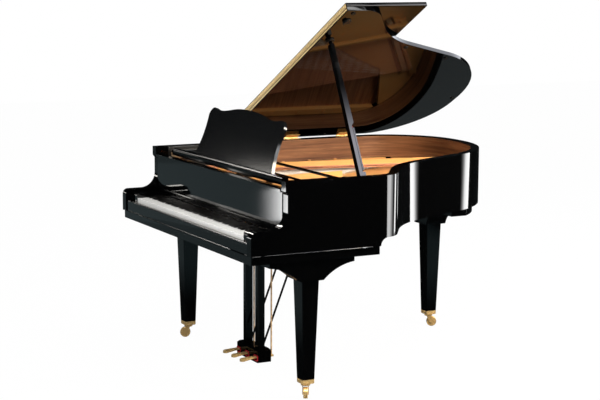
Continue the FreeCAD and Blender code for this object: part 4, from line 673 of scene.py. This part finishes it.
within = ((floorPlan["sideTo"] - start.axis("X")) * floorPlan["toFade"]).clamp()
beside = (start.axis("X") * floorPlan["besideFade"]).clamp()
short = ((floorPlan["sideDeep"] - start.axis("Y")) * floorPlan["deepFade"]).clamp()
dim = start.emission(floorPlan["dimTint"], floorPlan["dim"])
sideField = start.emission(floorPlan["sideTint"], floorPlan["side"])
frontField = start.emission(floorPlan["frontTint"], floorPlan["front"])
farSide = start.either(beyond * within * beside * short, dim, sideField)
polished = start.either(nearFront, farSide, frontField)
matt = start.node("ShaderNodeBsdfDiffuse", {}, {"Color": rgba(*floorPlan["paint"])})
glow = start.emission(floorPlan["white"], 1.0)
shown = start.either(start.ray("Is Camera Ray") * floorPlan["whiteShare"], matt, glow)
surface = start.either(start.ray("Is Glossy Ray"), shown, polished)
start.node("ShaderNodeOutputMaterial", {}, {"Surface": surface})
floorMesh.materials.append(floorPaint)

# graded cards, seen only in the polish: plan of the foot, low and high edge at its start and rise to its
# end, axis of the fade, where the glow is nothing and where it is full, glow, tint
plainWhite = (1, 1, 1)
cream = (1.0, 0.97, 0.9)
cards = {
    "frontCard": (((-3.75, -2.74), (-3.75, -4.4)), (0.0, 0.24, 0.0), "Y", (-2.74, -3.05), 13.5, plainWhite),
    "bendCard": (((0.76, 0.11), (0.943, 0.04)), (0.5, 0.97, 0.0), "X", (0.736, 0.862), 16.0, plainWhite),
    "backCard": (((-0.36, 4.03), (0.75, 4.03)), (0.0, 0.95, 0.0), "X", (0.75, 0.15), 11.0, plainWhite),
    "hingeLowCard": (((-3.7, -1.7), (-3.7, -2.2)), (0.58, 0.84, 0.58), "Z", (-4.0, 0.0), 7.5, cream),
    "hingeHighCard": (((-3.7, -2.42), (-3.7, -2.65)), (1.41, 1.67, 0.27), "Z", (-4.0, 0.0), 7.5, cream),
    "propCard": (((2.6, 1.2), (2.6, 2.3)), (3.2, 4.48, 0.0), "Z", (4.5, 3.8), 34.0, (0.9, 0.9, 1.0)),
    "slipCard": (((-3.7, -1.25), (-3.7, -0.85)), (2.2, 3.3, 0.0), "Z", (2.0, 3.0), 34.0, (1.0, 0.95, 0.9)),
    "deskCard": (((2.6, 0.5), (2.6, 2.7)), (0.72, 1.0, 2.9), "Y", (-9.0, 0.0), 9.0, (0.95, 0.97, 1.0)),
    "lidEndCard": (((2.6, 1.1), (2.6, 1.79)), (4.5, 4.72, 0.0), "Y", (3.2, 1.6), 28.0, plainWhite),
    "flapEndCard": (((2.6, 1.915), (2.6, 2.4)), (4.5, 4.72, 0.0), "Y", (3.2, 1.6), 28.0, plainWhite),
}


def cardPaint(name, axis, fade, glow, tint):
    # emission that grows with the square of the share of the way across, over clear
    paint = bpy.data.materials.new(name)
    start = emptyTree(paint)
    share = ((start.axis(axis) - fade[0]) * (1.0 / (fade[1] - fade[0]))).clamp()
    clear = start.node("ShaderNodeBsdfTransparent")
    surface = start.either(share * share, clear, start.emission(tint, glow))
    start.node("ShaderNodeOutputMaterial", {}, {"Surface": surface})
    return paint


for cardName, (foot, (low, high, rise), axis, fade, glow, tint) in cards.items():
    corners = [(*foot[0], low), (*foot[1], low + rise), (*foot[1], high + rise), (*foot[0], high)]
    cardMesh = bpy.data.meshes.new(cardName)
    cardMesh.from_pydata(corners, [], [(0, 1, 2, 3)])
    cardMesh.materials.append(cardPaint(cardName + "Paint", axis, fade, glow, tint))
    card = bpy.data.objects.new(cardName, cardMesh)
    bpy.context.scene.collection.objects.link(card)
    card.visible_camera = False
    card.visible_diffuse = False
    card.visible_shadow = False
print("cards:", len(cards))

# surroundings: white to the camera, dim in the polish, a grey fill on the rest
skyTone = {"fill": (0.42, 0.43, 0.45), "white": (1, 1, 1), "dim": (0.01, 0.011, 0.0115)}
world = bpy.data.worlds.new("studio")
bpy.context.scene.world = world
start = emptyTree(world)
unseen = start.either(start.ray("Is Glossy Ray"), start.background(skyTone["fill"]),
                      start.background(skyTone["dim"]))
sky = start.either(start.ray("Is Camera Ray"), unseen, start.background(skyTone["white"]))
start.node("ShaderNodeOutputWorld", {}, {"Surface": sky})

# soft boxes: place, aim, width, height, radiance, colour
lamps = {
    "lidEdgeLamp": ((0.0, 4.5, 3.1), (0.3, 0.5, 1.6), 6.0, 1.7, 5.8, (0.88, 0.91, 1.0)),
    "frontWall": ((-3.7, -2.9, 0.22), (0.0, -0.7, 0.22), 4.4, 0.42, 0.06, (0.72, 0.95, 1.0)),
    "tailCard": ((-1.7, 1.7, 0.02), (-1.7, 1.7, 1.0), 2.2, 2.2, 0.18, (0.85, 0.98, 1.0)),
    "edgeLamp": ((0.95, 0.6, 4.4), (0.755, -0.3, 1.0), 1.4, 1.4, 9.0, plainWhite),
    "insideLamp": ((2.2, 1.3, 2.1), (-0.2, 0.05, 0.9), 1.2, 0.8, 36.0, (1.0, 0.88, 0.7)),
    "topLamp": ((2.4, -2.6, 4.2), (0.1, -0.3, 0.8), 2.6, 2.6, 8.5, (1.0, 0.98, 0.95)),
}
for lampName, (place, aim, width, height, radiance, tint) in lamps.items():
    light = bpy.data.lights.new(lampName, "AREA")
    light.shape = "RECTANGLE"
    light.size = width
    light.size_y = height
    light.energy = radiance * math.pi * width * height
    light.color = tint
    lamp = bpy.data.objects.new(lampName, light)
    bpy.context.scene.collection.objects.link(lamp)
    away = Vector(place) - Vector(aim)
    lamp.matrix_world = Matrix.Translation(place) @ away.to_track_quat("Z", "Y").to_matrix().to_4x4()
    lamp.visible_camera = False
print("lamps:", len(lamps))

# the photo's viewpoint and lens, fitted with the keyboard's usual width
view = {"place": (6.833107, -3.8025, 1.93553), "right": (0.46168, 0.88703, 0.00442),
        "forward": (-0.87691, 0.45715, -0.14846), "lens": 96.83, "sensor": 36.0}
right = Vector(view["right"]).normalized()
back = -Vector(view["forward"]).normalized()
up = back.cross(right).normalized()
turned = Matrix((right, up, back)).transposed().to_4x4()
cameraData = bpy.data.cameras.new("photoCamera")
cameraData.lens = view["lens"]
cameraData.sensor_width = view["sensor"]
cameraData.sensor_fit = "HORIZONTAL"
camera = bpy.data.objects.new("photoCamera", cameraData)
camera.matrix_world = Matrix.Translation(view["place"]) @ turned
bpy.context.scene.collection.objects.link(camera)
bpy.context.scene.camera = camera
bpy.context.scene.view_settings.view_transform = "Standard"
print("camera set")
